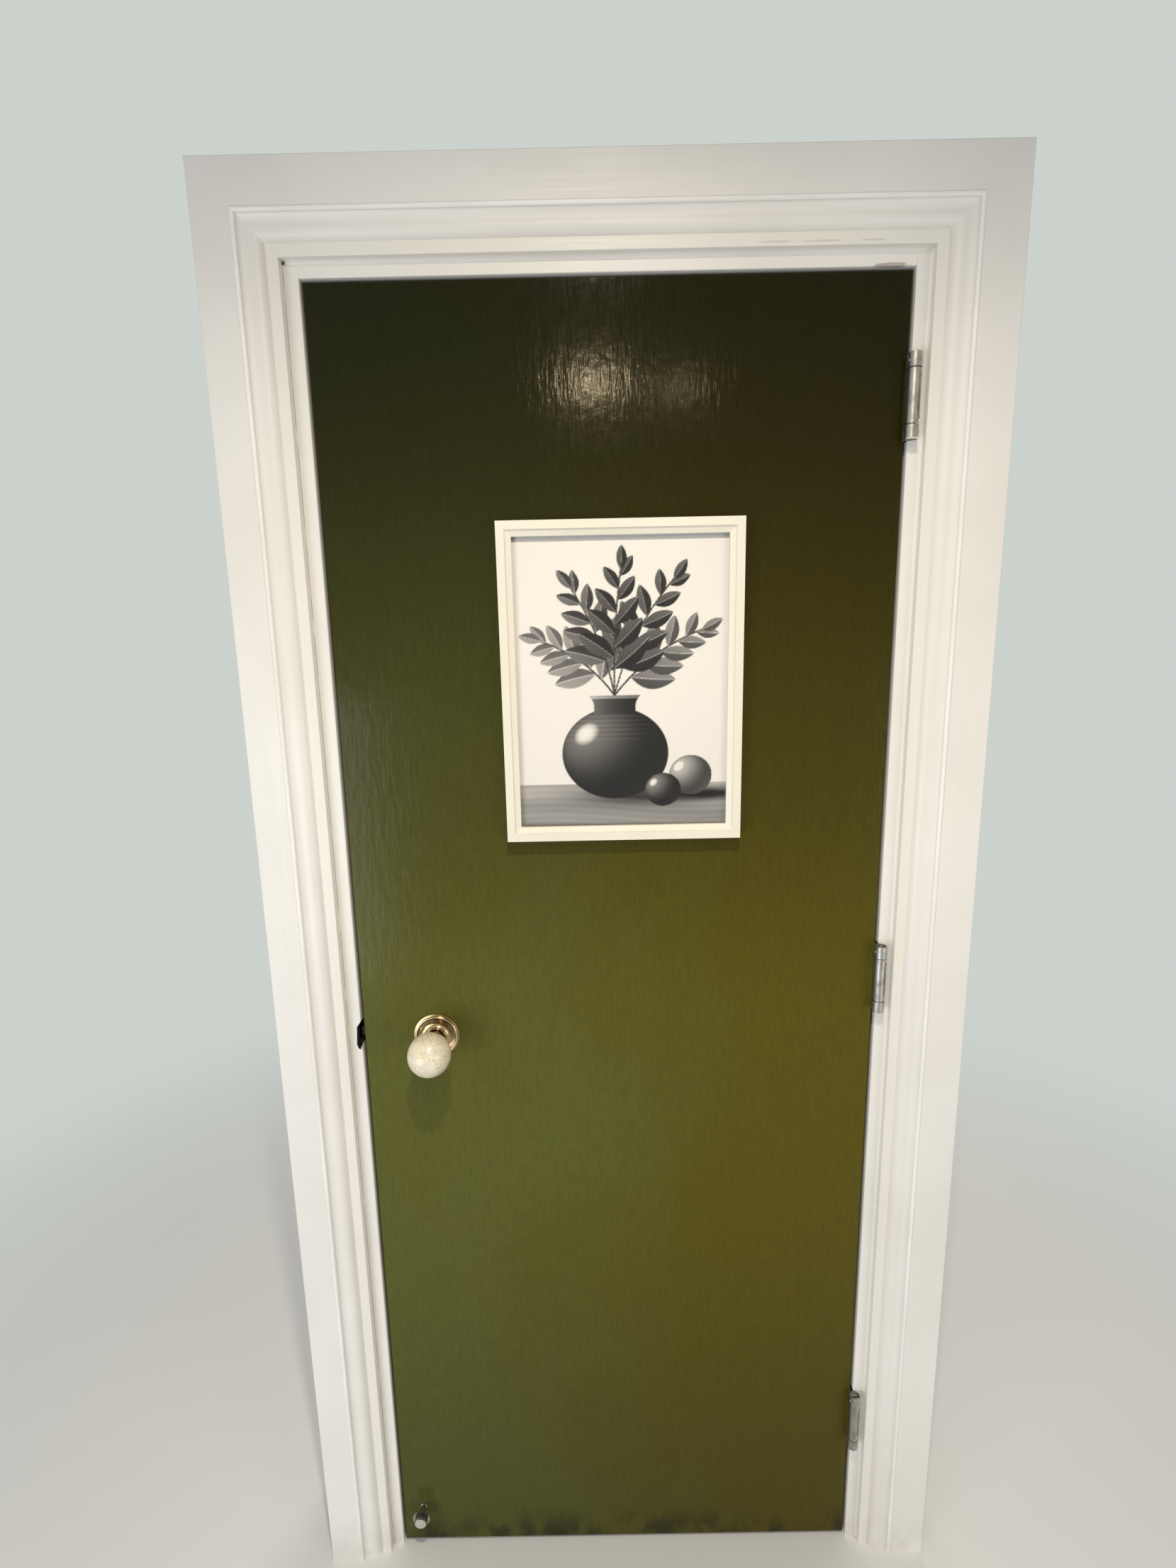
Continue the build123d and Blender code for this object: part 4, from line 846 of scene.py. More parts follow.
def new_piece(
    name: str, vertices: np.ndarray, faces: list[tuple[int, ...]], sharp_deg: float = 35.0
) -> bpy.types.Object:
    """Makes a mesh in place, its doubles merged and a closed one's faces turned outwards.

    Args:
        name: the piece's name.
        vertices: points, in metres, one to a row.
        faces: each face's vertex numbers.
        sharp_deg: edges that turn more than this stay sharp.

    Returns:
        The new object.
    """
    mesh = bpy.data.meshes.new(name)
    mesh.from_pydata(vertices.tolist(), [], faces)
    work = bmesh.new()
    work.from_mesh(mesh)
    bmesh.ops.remove_doubles(work, verts=work.verts, dist=MERGE)
    bmesh.ops.recalc_face_normals(work, faces=work.faces)
    work.to_mesh(mesh)
    work.free()
    mesh.shade_smooth()
    mesh.set_sharp_from_angle(angle=math.radians(sharp_deg))
    made = bpy.data.objects.new(name, mesh)
    bpy.context.scene.collection.objects.link(made)
    return made


def points_of(mesh: bpy.types.Mesh) -> np.ndarray:
    """A mesh's points.

    Args:
        mesh: the mesh.

    Returns:
        The points, in metres, one to a row.
    """
    flat = np.empty(3 * len(mesh.vertices))
    mesh.vertices.foreach_get("co", flat)
    return flat.reshape(-1, 3)


def grid_faces(rows: int, columns: int, wrap: bool = False) -> list[tuple[int, ...]]:
    """The quads of a grid of points, numbered row by row.

    Args:
        rows: how many rows of points there are.
        columns: how many points a row has.
        wrap: whether the last column joins the first.

    Returns:
        Each quad's point numbers.
    """
    r, c = np.meshgrid(np.arange(rows - 1), np.arange(columns if wrap else columns - 1), indexing="ij")
    after = (c + 1) % columns
    row, next_row = r * columns, (r + 1) * columns
    quads = np.stack([row + c, row + after, next_row + after, next_row + c], -1)
    return [tuple(q) for q in quads.reshape(-1, 4).tolist()]


def lofted(name: str, rings: np.ndarray) -> bpy.types.Object:
    """A closed surface through rings of points, whose first and last rings shrink to a point.

    Args:
        name: the piece's name.
        rings: an array of ring, place on the ring and coordinate, in metres.

    Returns:
        The new object.
    """
    count, around = rings.shape[:2]
    return new_piece(name, rings.reshape(-1, 3), grid_faces(count, around, wrap=True))


def bead_along(line: np.ndarray, radii: np.ndarray, around: int = 10) -> np.ndarray:
    """Rings round a line, for a bead of paint.

    Each ring is the line's point plus radius times (side cos a + up sin a), where side and up stand
    square to the line's direction there.

    Args:
        line: the bead's middle, in metres, one point to a row.
        radii: the bead's radius at each point; it ends in zeros.
        around: how many points go round.

    Returns:
        An array of ring, place on the ring and coordinate.
    """
    ahead = np.gradient(line, axis=0)
    ahead /= np.linalg.norm(ahead, axis=1, keepdims=True)
    side = np.cross(ahead, np.array([0.0, 0.0, 1.0]))
    side /= np.linalg.norm(side, axis=1, keepdims=True)
    up = np.cross(side, ahead)
    a = np.linspace(0.0, 2.0 * math.pi, around, endpoint=False)[None, :, None]
    spread = side[:, None, :] * np.cos(a) + up[:, None, :] * np.sin(a)
    return line[:, None, :] + radii[:, None, None] * spread


def dress(piece: bpy.types.Object, material: bpy.types.Material) -> None:
    """Gives a piece its only material."""
    piece.data.materials.clear()
    piece.data.materials.append(material)


@dataclass
class SubAssembly:
    """A group of the part's nodes, painted and given extra pieces together."""

    nodes: dict[str, bpy.types.Object]

    def paint(self, material: bpy.types.Material, *names: str) -> None:
        """Gives CAD nodes one material.

        Args:
            material: the material.
            names: the nodes' names.
        """
        for name in names:
            dress(self.nodes[name], material)
            LOG.info("%s takes %s", name, material.name)

    def add(
        self, piece: bpy.types.Object, material: bpy.types.Material, body: str, slot: str
    ) -> bpy.types.Object:
        """Dresses a new piece and lets it ride on a body.

        Args:
            piece: the new object.
            material: its material.
            body: the body that carries it.
            slot: not used.

        Returns:
            The same object.
        """
        dress(piece, material)
        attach(piece, body)
        LOG.info("%s rides on %s", piece.name, body)
        return piece


@dataclass
class Frame(SubAssembly):
    """The lining, its stop laths and the architraves on both faces of the wall.

    A rub has its place along the head and its half length. A swell of the filler has its height as a
    share, its waves in radians per metre and its start in radians; its points are counted over its
    section and along its run.
    """

    inner_x: float = 403.0 * MM
    inner_z: float = 2009.0 * MM
    leaf_x: float = 384.0 * MM
    leaf_z: float = 1990.0 * MM
    fillet: float = 15.0 * MM
    # Painted highlight: where the pale line along the bead's crest lies from the inner edge, its soft edge
    # and its colour.
    crest_highlight: Pair = (44.3 * MM, 48.3 * MM)
    crest_highlight_soft: float = 0.8 * MM
    crest_highlight_colour: Colour = (0.89, 0.87, 0.85)
    rubs: tuple[Pair, ...] = ((205.0 * MM, 24.0 * MM), (262.0 * MM, 30.0 * MM), (325.0 * MM, 18.0 * MM))
    rub_colour: Colour = (0.47, 0.44, 0.40)
    # The colour of the painted shade at the open corner joint.
    open_corner_shade_colour: Colour = (0.03, 0.027, 0.024)
    torn_x: float = 352.0 * MM
    torn_colour: Colour = (0.33, 0.27, 0.26)
    notch_front: float = 0.45 * MM
    notch_back: float = 37.0 * MM
    notch_low: float = 942.5 * MM
    notch_high: float = 989.5 * MM
    notch_skin: float = 0.35 * MM
    notch_depth: float = 14.0 * MM
    filler: float = 4.0 * MM
    filler_tuck: float = 0.05 * MM
    filler_points: tuple[int, int] = (7, 160)
    filler_swells: tuple[Place, ...] = ((0.16, 31.0, 0.0), (0.10, 83.0, 1.0))

    def tones(self, axis: Axis, inner: float, way: int = 1) -> tuple[Band, Band]:
        """The cream tone on an architrave's fillet by the lining, and a painted highlight along its crest.

        Args:
            axis: the axis that crosses the moulding.
            inner: how far its inner edge lies from 0 on that axis.
            way: the way outwards along that axis.

        Returns:
            The fillet's band and the crest's.
        """
        fillet = sorted((way * inner, way * (inner + self.fillet)))
        # Painted highlight along the bead's crest.
        crest_highlight = sorted(way * (inner + step) for step in self.crest_highlight)
        return Band(axis, *fillet), Band(axis, *crest_highlight, self.crest_highlight_colour, self.crest_highlight_soft)

    def legs(self) -> None:
        """Paints the upright architraves."""
        for hand in Hand:
            word = hand.name.lower()
            finish = WhiteGloss(Axis.Z, bands=self.tones(Axis.X, self.inner_x, hand.value))
            names = [f"{face.name.lower()}_architrave_{word}" for face in Face]
            self.paint(finish.material(f"white_gloss_{word}"), *names)

    def heads(self) -> None:
        """Paints what runs across the head, with rubs and a tear in its paint, and painted shade in the open
        corner joint and along the lining's joint.
        """
        # Painted shade: a dark spot at the open mitre corner of lining and architrave, where shade falls in
        # the hole.
        corner = Spot((-self.inner_x + 0.5 * MM, 0.0, self.inner_z - 0.5 * MM),
                      (3.2 * MM, 4.0 * MM, 4.2 * MM), self.open_corner_shade_colour, 0.95)
        torn = Spot((self.torn_x, 0.0, self.leaf_z + 1.0 * MM),
                    (24.0 * MM, 6.0 * MM, 3.2 * MM), self.torn_colour, 0.75)
        rubs = tuple(Spot((x, -12.0 * MM, self.inner_z + 5.0 * MM), (half, 9.0 * MM, 1.1 * MM),
                          self.rub_colour, 0.5) for x, half in self.rubs)
        architrave = WhiteGloss(Axis.X, bands=self.tones(Axis.Z, self.inner_z), spots=rubs)
        self.paint(architrave.material("white_gloss_head"), "front_architrave_head", "back_architrave_head")
        # Painted shade along the joint between the head's lining and its architrave.
        line = SeamShade(Axis.Z, self.inner_z - 0.3 * MM, 0.7 * MM, 0.28, 0.5)
        lining = WhiteGloss(Axis.X, seam_shades=(line,), spots=(corner, torn))
        self.paint(lining.material("white_gloss_lining"), "head_jamb", "head_stop")

    def jambs(self) -> None:
        """Paints the jambs and stops, with painted shade along their joints: an open seam down the latch
        side, a closed one by the hinges.
        """
        # Painted shade along the jambs' joints with the architraves: stronger and open on the latch side,
        # faint by the hinges.
        open_seam_shade = SeamShade(Axis.X, -self.inner_x + 0.3 * MM, 0.65 * MM, 0.62)
        faint_seam_shade = SeamShade(Axis.X, self.inner_x - 0.3 * MM, 0.7 * MM, 0.3, 0.42)
        low = (-self.leaf_x - self.notch_depth, self.notch_front, self.notch_low)
        high = (-self.leaf_x - self.notch_skin, self.notch_back, self.notch_high)
        chopped = ChoppedJamb(WhiteGloss(Axis.Z, seam_shades=(open_seam_shade,)), low, high)
        self.paint(chopped.material("white_gloss_chopped"), "latch_jamb")
        self.paint(WhiteGloss(Axis.Z, seam_shades=(faint_seam_shade,)).material("white_gloss_jamb"), "hinge_jamb")
        self.paint(WhiteGloss(Axis.Z).material("white_gloss_stop"), "hinge_side_stop", "latch_side_stop")

    def caulk(self, name: str, start: Place, end: Place, inward: Place) -> bpy.types.Object:
        """A fillet of filler in the corner between the lining's edge and an architrave.

        Its section has the corner, a point out along the architrave's edge, and between them a hollow
        curve: at t from 0 to 1 it lies at w (1-t)^2 inwards and w t^2 forwards of the corner. The width w
        swells and shrinks along the run with two sines, and the ends close to a point.

        Args:
            name: the piece's name.
            start: the corner at one end.
            end: the corner at the other end.
            inward: the unit direction from the architrave into the doorway.

        Returns:
            The new piece.
        """
        first, last, aside = np.array(start), np.array(end), np.array(inward)
        back = np.array([0.0, 1.0, 0.0])
        share = np.linspace(0.0, 1.0, self.filler_points[0])
        hollow = np.stack([(1 - share) ** 2, share**2], -1)
        section = np.concatenate([np.zeros((1, 2)), hollow]) * self.filler
        run = np.linspace(0.0, 1.0, self.filler_points[1])[:, None]
        line = (1 - run) * first + run * last
        along = run[:, 0] * float(np.linalg.norm(last - first))
        swell = 1.0 + sum(high * np.sin(waves * along + at) for high, waves, at in self.filler_swells)
        step = section[None, :, 0, None] * aside - section[None, :, 1, None] * back
        rings = line[:, None, :] + step * swell[:, None, None] + self.filler_tuck * (back - aside)
        ends = [ring.mean(1, keepdims=True).repeat(rings.shape[1], 1) for ring in (rings[:1], rings[-1:])]
        return lofted(name, np.concatenate([ends[0], rings, ends[1]]))

    def build(self) -> None:
        """Dresses the frame and fills the corners of its head and its hinge side."""
        self.legs()
        self.heads()
        self.jambs()
        x, z = self.inner_x, self.inner_z
        runs = (("head", (self.filler - x, 0.0, z), (x, 0.0, z), (0.0, 0.0, -1.0)),
                ("hinge_side", (x, 0.0, 0.0), (x, 0.0, z), (-1.0, 0.0, 0.0)))
        white = WhiteGloss(Axis.X).material("white_filler")
        for word, start, end, inward in runs:
            self.add(self.caulk(f"caulk_{word}", start, end, inward), white, "frame", "white_painted_wood")


@dataclass
class Leaf(SubAssembly):
    """The door leaf: painted skins and edges round a bare core."""

    half_width: float = 381.0 * MM
    top: float = 1987.0 * MM

    def build(self) -> None:
        """Dresses the leaf."""
        paint = OliveSatin(self.half_width, self.top).material("olive_satin")
        self.paint(paint, "leaf_front_skin", "leaf_back_skin", "leaf_lock_stile", "leaf_hinge_stile",
                   "leaf_top_rail", "leaf_bottom_rail")
        self.paint(BareTimber(Axis.Z).material("core_board"), "leaf_core")


@dataclass
class Hinges(SubAssembly):
    """Three spring hinges in satin plate, the top one smeared with white paint.

    A smear has its word, its height over the hinge's foot, the degrees where it starts and ends round
    the barrel, and its greatest radius.
    """

    axis_x: float = 384.5 * MM
    axis_y: float = -9.0 * MM
    barrel: float = 8.5 * MM
    bases: tuple[float, ...] = (1786.0 * MM, 995.5 * MM, 205.0 * MM)
    joints: Pair = (17.25 * MM, 83.75 * MM)
    smear_proud: float = 0.1 * MM
    smear_wobble: float = 0.35 * MM
    smear_points: int = 40
    plated: tuple[str, ...] = ("jamb_leaf", "door_leaf", "pivot_plug", "tension_collar", "pins", "screws")
    smears: tuple[tuple[str, float, float, float, float], ...] = (
        ("rim", -0.2 * MM, -66.0, 88.0, 1.25 * MM),
        ("gap", 17.4 * MM, 6.0, 96.0, 0.8 * MM),
        ("blob", 20.8 * MM, 50.0, 100.0, 1.8 * MM),
    )

    def bead(
        self, name: str, height: float, start_deg: float, end_deg: float, thick: float
    ) -> bpy.types.Object:
        """A lumpy bead of paint round part of the barrel.

        Its middle is on the barrel's circle: angle a from the front towards +X gives (axis_x + r sin a,
        axis_y - r cos a); its radius swells and shrinks with two sines and ends at nothing.

        Args:
            name: the piece's name.
            height: how high it lies.
            start_deg: where it starts.
            end_deg: where it ends.
            thick: its greatest radius.

        Returns:
            The new piece.
        """
        t = np.linspace(0.0, 1.0, self.smear_points)
        a = np.radians(start_deg + (end_deg - start_deg) * t)
        radius = self.barrel + self.smear_proud
        z = height + self.smear_wobble * np.sin(9.0 * t + 1.0)
        line = np.stack([self.axis_x + radius * np.sin(a), self.axis_y - radius * np.cos(a), z], -1)
        swell = np.sin(math.pi * t) ** 0.4 * (0.62 + 0.22 * np.sin(13.0 * t) + 0.16 * np.sin(29.0 * t + 2.0))
        return lofted(name, bead_along(line, thick * np.clip(swell, 0.0, None)))

    def parts(self, *ends: str) -> list[str]:
        """The hinges' nodes whose names end in one of some words."""
        return [name for name in self.nodes if "hinge" in name and name.endswith(ends)]

    def build(self) -> None:
        """Dresses the hinges and lays on the smears."""
        nickel = SatinPlate(tuple(base + joint for base in self.bases for joint in self.joints))
        self.paint(nickel.material("satin_nickel"), *self.parts(*self.plated))
        steel = Plain((0.22, 0.22, 0.23), (0.14, 0.13, 0.12), 0.35, metallic=1.0)
        self.paint(steel.material("spring_steel"), *self.parts("spring"))
        white = WhiteGloss(Axis.X).material("white_smears")
        for word, up, start, end, thick in self.smears:
            bead = self.bead(f"hinge_paint_{word}", self.bases[0] + up, start, end, thick)
            self.add(bead, white, "frame", "white_painted_wood")


@dataclass
class KnobSet(SubAssembly):
    """Ball knobs, necks, roses and their screws, on both faces of the leaf."""

    x: float = -272.0 * MM
    z: float = 963.0 * MM
    front: float = 4.0 * MM
    back: float = 48.0 * MM
    rim: float = 30.2 * MM
    collar: float = 14.5 * MM
    screw_circle: float = 24.5 * MM
    screw_angles: tuple[float, ...] = (30.0, 150.0, 270.0)
    slot_turns: tuple[float, ...] = (20.0, 75.0, 130.0)
    head_radius: float = 3.7 * MM
    head_foot: float = 2.5 * MM
    head_dome: float = 1.5 * MM
    head_wall: float = 1.3 * MM
    slot_half: float = 0.45 * MM
    slot_depth: float = 0.9 * MM
    slot_slope: float = 0.15 * MM
    head_rings: int = 22
    head_around: int = 72

    def screw_head(self, name: str, face: Face, angle: float, turn: float) -> bpy.types.Object:
        """A slotted round head on a rose.

        Over the radius r the dome's height is dome times one minus (r over the head's radius) squared, less
        the slot's depth where the point lies within half a slot of the slot's line.

        Args:
            name: the piece's name.
            face: the leaf's face that it is on.
            angle: the screw's place on its circle, in degrees.
            turn: the slot's direction, in degrees.

        Returns:
            The new piece.
        """
        around = np.linspace(0.0, 2.0 * math.pi, self.head_around, endpoint=False)
        share, a = np.meshgrid(np.linspace(1.0, 0.0, self.head_rings), around, indexing="ij")
        dome = self.head_wall + self.head_dome * (1.0 - share**2)
        off_line = np.abs(share * self.head_radius * np.sin(a - math.radians(turn)))
        slot = np.clip((self.slot_half - off_line) / self.slot_slope + 0.5, 0.0, 1.0)
        foot = np.zeros((1, around.size))
        height = self.head_foot + np.concatenate([foot, foot, dome - slot * self.slot_depth])
        radius = np.concatenate([foot, foot + 1.0, share]) * self.head_radius
        face_y = self.front if face is Face.FRONT else self.back
        x = self.x + self.screw_circle * math.cos(math.radians(angle)) + radius * np.cos(around)
        z = self.z + self.screw_circle * math.sin(math.radians(angle)) + radius * np.sin(around)
        return lofted(name, np.stack([x, face_y + face.value * height, z], -1))

    def build(self) -> None:
        """Dresses the knobs and seats the screws' heads over the plain ones."""
        brass = AntiqueBrass(self.x, self.z, self.rim, self.collar).material("antique_brass")
        self.paint(brass, "front_rose", "back_rose", "rose_screws")
        # The necks' dark bronze is partly painted shade, standing in for the shade under the balls on their
        # polished brass.
        shaded_bronze = Metal((0.22, 0.16, 0.11), (0.07, 0.05, 0.03), (0.12, 0.26), 0.6, 140.0)
        self.paint(shaded_bronze.material("dark_bronze"), "front_knob_neck", "back_knob_neck")
        self.paint(CrackleGlaze().material("crackle_glaze"), "front_knob", "back_knob")
        worn = Metal((0.40, 0.28, 0.15), (0.10, 0.065, 0.038), (0.24, 0.40), 0.9, 500.0)
        finish = worn.material("worn_brass")
        for face in Face:
            for count, (angle, turn) in enumerate(zip(self.screw_angles, self.slot_turns)):
                head = self.screw_head(f"{face.name.lower()}_rose_screw_head_{count}", face, angle, turn)
                self.add(head, finish, "leaf", "antique_brass")


@dataclass
class Latch(SubAssembly):
    """The tubular latch, its faceplate and the knobs' spindle."""

    bolt_travel: float = 8.8 * MM

    def coil(self) -> bpy.types.Object:
        """Copies the bolt's spring as a mesh of its own, its doubles merged."""
        wire = self.nodes["latch_spring"].data
        return new_piece("latch_spring_coil", points_of(wire), [tuple(f.vertices) for f in wire.polygons])

    def build(self) -> None:
        """Dresses the latch, and puts a copy of the bolt's spring, riding on the leaf, in the CAD spring's
        place.
        """
        wire = Metal((0.50, 0.50, 0.49), (0.34, 0.33, 0.31), (0.26, 0.40))
        coil = self.add(self.coil(), wire.material("coil_wire"), "leaf", "spring_steel")
        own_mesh(coil)
        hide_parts("latch_spring")
        zinc = Metal((0.55, 0.55, 0.55), (0.38, 0.37, 0.35), (0.28, 0.42)).material("zinc_plate")
        self.paint(zinc, "spindle", "latch_case", "latch_hub", "latch_faceplate", "latch_screws")
        worn = Metal((0.15, 0.14, 0.13), (0.06, 0.055, 0.05), (0.34, 0.5))
        self.paint(worn.material("worn_steel"), "latch_bolt")


@dataclass(frozen=True)
class Stem:
    """A stem on the print: its tip, how far it bends off the straight, and its leaves' tone."""

    tip: Pair
    bend: float
    grey: float


@dataclass(frozen=True)
class Sprig:
    """A leaf on the print: its root, the angle that it points at, and its length."""

    root: np.ndarray
    angle: float
    length: float


@dataclass(frozen=True)
class Fruit:
    """A round fruit on the print: its middle, half its width, its darkest tone and its lit side's range."""

    at: Pair
    half: float
    low: float
    span: float


@dataclass(frozen=True)
class Shadow:
    """A soft shadow on the print's table: its middle and how far it reaches across and up."""

    at: Pair
    reach: Pair


@dataclass
class Picture(SubAssembly):
    """A framed print of leafy stems in a round jug, in black and greys, under glass.

    On the sheet u runs across and v up, both counted in half heights from its middle. A tone is 0 for
    black and 1 for white.
    """

    x: float = 12.0 * MM
    z: float = 1481.0 * MM
    wide: float = 296.5 * MM
    high: float = 401.0 * MM
    face_y: float = -2.0 * MM
    thick: float = 0.4 * MM
    step: float = 1.15 * MM
    table_at: float = -0.68
    jug_at: Pair = (-0.05, -0.47)
    jug_half: Pair = (0.37, 0.32)
    rib_tone: float = 0.035
    rib_rate: float = 64.0
    neck_half: float = 0.40
    neck_flare: float = 1.8
    neck_foot: float = 0.86
    neck_flare_from: float = 1.02
    lip: Pair = (1.19, 1.26)
    wall_tone: float = 0.98
    wall_fall: float = 0.07
    table_tone: float = 0.60
    table_fall: float = 0.55
    shadow_tone: float = 0.45
    stem_tone: float = 0.12
    stem_half: float = 0.0085
    stem_soft: float = 0.003
    stem_points: int = 60
    stem_leaves: int = 9
    leaf_length: float = 0.31
    leaf_shrink: float = 0.019
    leaf_spread: float = 0.95
    leaf_close: float = 0.05
    leaf_half: float = 0.23
    leaf_soft: float = 0.02
    leaf_bow: float = 0.10
    leaf_lit: float = 0.17
    vein_tone: float = 0.10
    vein_rate: float = 62.0
    vein_lean: float = 1.3
    midrib_tone: float = 0.35
    midrib_half: float = 0.012
    edge_soft: float = 0.03
    light: Place = (-0.55, 0.45, 0.70)
    glow: Place = (0.62, -0.5, -0.42)
    stems: tuple[Stem, ...] = (
        Stem((-0.54, 0.30), -0.16, 0.22),
        Stem((0.54, 0.36), 0.14, 0.14),
        Stem((-0.33, 0.64), -0.10, 0.05),
        Stem((0.35, 0.69), 0.12, -0.02),
        Stem((0.0, 0.76), 0.04, -0.05),
    )
    shadows: tuple[Shadow, ...] = (
        Shadow((0.16, -0.775), (0.46, 0.060)),
        Shadow((0.60, -0.765), (0.22, 0.035)),
    )
    fruits: tuple[Fruit, ...] = (
        Fruit((0.47, -0.63), 0.150, 0.16, 0.52),
        Fruit((0.28, -0.73), 0.125, 0.03, 0.40),
    )

    def stem(self, u: np.ndarray, v: np.ndarray, stem: Stem) -> tuple[np.ndarray, list[Sprig]]:
        """A stem from the jug's mouth to its tip, and its leaves, larger near its foot.

        The stem is the curve start (1-t)^2 + 2 middle t (1-t) + tip t^2; the line's mask falls with the
        distance from the nearest of its points.

        Args:
            u: each point's place across the sheet.
            v: each point's place up the sheet.
            stem: the stem.

        Returns:
            The line's mask, and the leaves.
        """
        t = np.linspace(0.0, 1.0, self.stem_points)
        start = np.array([self.jug_at[0], self.jug_at[1] + self.jug_half[1] * 1.25])
        end = np.array(stem.tip)
        across = np.array([start[1] - end[1], end[0] - start[0]])
        middle = (start + end) / 2 + across * stem.bend
        curve = np.outer((1 - t) ** 2, start) + np.outer(2 * t * (1 - t), middle) + np.outer(t**2, end)
        gap = np.full(u.shape, np.inf)
        for point in curve:
            gap = np.minimum(gap, np.hypot(u - point[0], v - point[1]))
        line = np.clip((self.stem_half - gap) / self.stem_soft, 0.0, 1.0)
        heading = np.gradient(curve, axis=0)
        turn = np.arctan2(heading[:, 1], heading[:, 0])
        sprigs = []
        for count, place in enumerate(np.linspace(13, 56, self.stem_leaves).astype(int)):
            side = 1.0 if count % 2 else -1.0
            angle = turn[place] + side * (self.leaf_spread - self.leaf_close * count)
            sprigs.append(Sprig(curve[place], angle, self.leaf_length - self.leaf_shrink * count))
        sprigs.append(Sprig(curve[-1], turn[-1], 0.16))
        return line, sprigs

    def leaf_over(
        self, tone: np.ndarray, u: np.ndarray, v: np.ndarray, sprig: Sprig, grey: float
    ) -> np.ndarray:
        """Lays one pointed leaf over the tones.

        Along the leaf, s runs from 0 to 1; its half width is leaf_half times its length times sin(pi s)
        to the power 0.8. One half is lighter, the middle vein is pale, and the side veins are ripples of
        s less the distance from the vein.

        Args:
            tone: the sheet's tones so far.
            u: each point's place across the sheet.
            v: each point's place up the sheet.
            sprig: the leaf.
            grey: its own tone.

        Returns:
            The tones with the leaf.
        """
        du, dv = (u - sprig.root[0]) / sprig.length, (v - sprig.root[1]) / sprig.length
        along = du * math.cos(sprig.angle) + dv * math.sin(sprig.angle)
        held = np.clip(along, 0.0, 1.0)
        off = -du * math.sin(sprig.angle) + dv * math.cos(sprig.angle) - self.leaf_bow * held**2
        half = self.leaf_half * np.sin(math.pi * held) ** 0.8
        mask = np.clip((half - np.abs(off)) / self.leaf_soft, 0.0, 1.0)
        veins = 0.5 + 0.5 * np.sin(self.vein_rate * (along - self.vein_lean * np.abs(off)))
        own = grey + self.leaf_lit * (off > 0) + self.vein_tone * veins + 0.16 * held * (0.4 + 1.6 * off)
        own = own + self.midrib_tone * np.exp(-((off / self.midrib_half) ** 2))
        return tone + mask * (np.clip(own, 0.02, 0.92) - tone)

    def ball_over(
        self, tone: np.ndarray, du: np.ndarray, dv: np.ndarray, low: float, span: float
    ) -> np.ndarray:
        """Lays a round body over the tones, lit from the upper left.

        Inside, where du^2 + dv^2 is under 1, the surface looks along (du, dv, root of 1 - du^2 - dv^2);
        its tone follows that direction against the light's, with a bright spot where they nearly agree
        and a faint glow along its lower right.

        Args:
            tone: the sheet's tones so far.
            du: each point's place across the body, in its half widths.
            dv: each point's place up the body, in its half heights.
            low: the darkest tone.
            span: how much lighter the lit side is.

        Returns:
            The tones with the body.
        """
        squared = du**2 + dv**2
        depth = np.sqrt(np.clip(1.0 - squared, 0.0, 1.0))
        lit = np.clip(self.light[0] * du + self.light[1] * dv + self.light[2] * depth, 0.0, 1.0)
        glow = np.clip(self.glow[0] * du + self.glow[1] * dv + self.glow[2], 0.0, 1.0) ** 1.2
        spot = np.clip((lit - 0.955) / 0.04, 0.0, 1.0)
        body = low + span * lit**2.2 + 0.60 * spot + 0.45 * span * glow
        mask = np.clip((1.0 - squared) / self.edge_soft, 0.0, 1.0)
        return tone + mask * (np.clip(body, 0.0, 0.96) - tone)

    def jug_over(self, tone: np.ndarray, u: np.ndarray, v: np.ndarray) -> np.ndarray:
        """Lays the jug over the tones: a round body with ribs, a short flared neck and a pale lip.

        The ribs are a sine of the height on its shoulder, and the neck's half width grows with the
        square of the height over it.

        Args:
            tone: the sheet's tones so far.
            u: each point's place across the sheet.
            v: each point's place up the sheet.

        Returns:
            The tones with the jug.
        """
        du, dv = (u - self.jug_at[0]) / self.jug_half[0], (v - self.jug_at[1]) / self.jug_half[1]
        ribs = self.rib_tone * np.sin(self.rib_rate * dv) * (dv > 0.30) * (du**2 + dv**2 < 0.97)
        tone = self.ball_over(tone, du, dv, 0.015, 0.36) + ribs
        half = self.neck_half + self.neck_flare * np.clip(dv - self.neck_flare_from, 0.0, 1.0) ** 2
        on_neck = np.clip((half - np.abs(du)) / self.edge_soft, 0.0, 1.0)
        on_neck = on_neck * (dv > self.neck_foot) * (dv < self.lip[1])
        shade = 0.03 + 0.40 * np.clip(0.45 - 0.9 * du, 0.0, 1.0) ** 1.6 + 0.30 * (dv > self.lip[0])
        return tone + on_neck * (np.clip(shade, 0.02, 0.9) - tone)

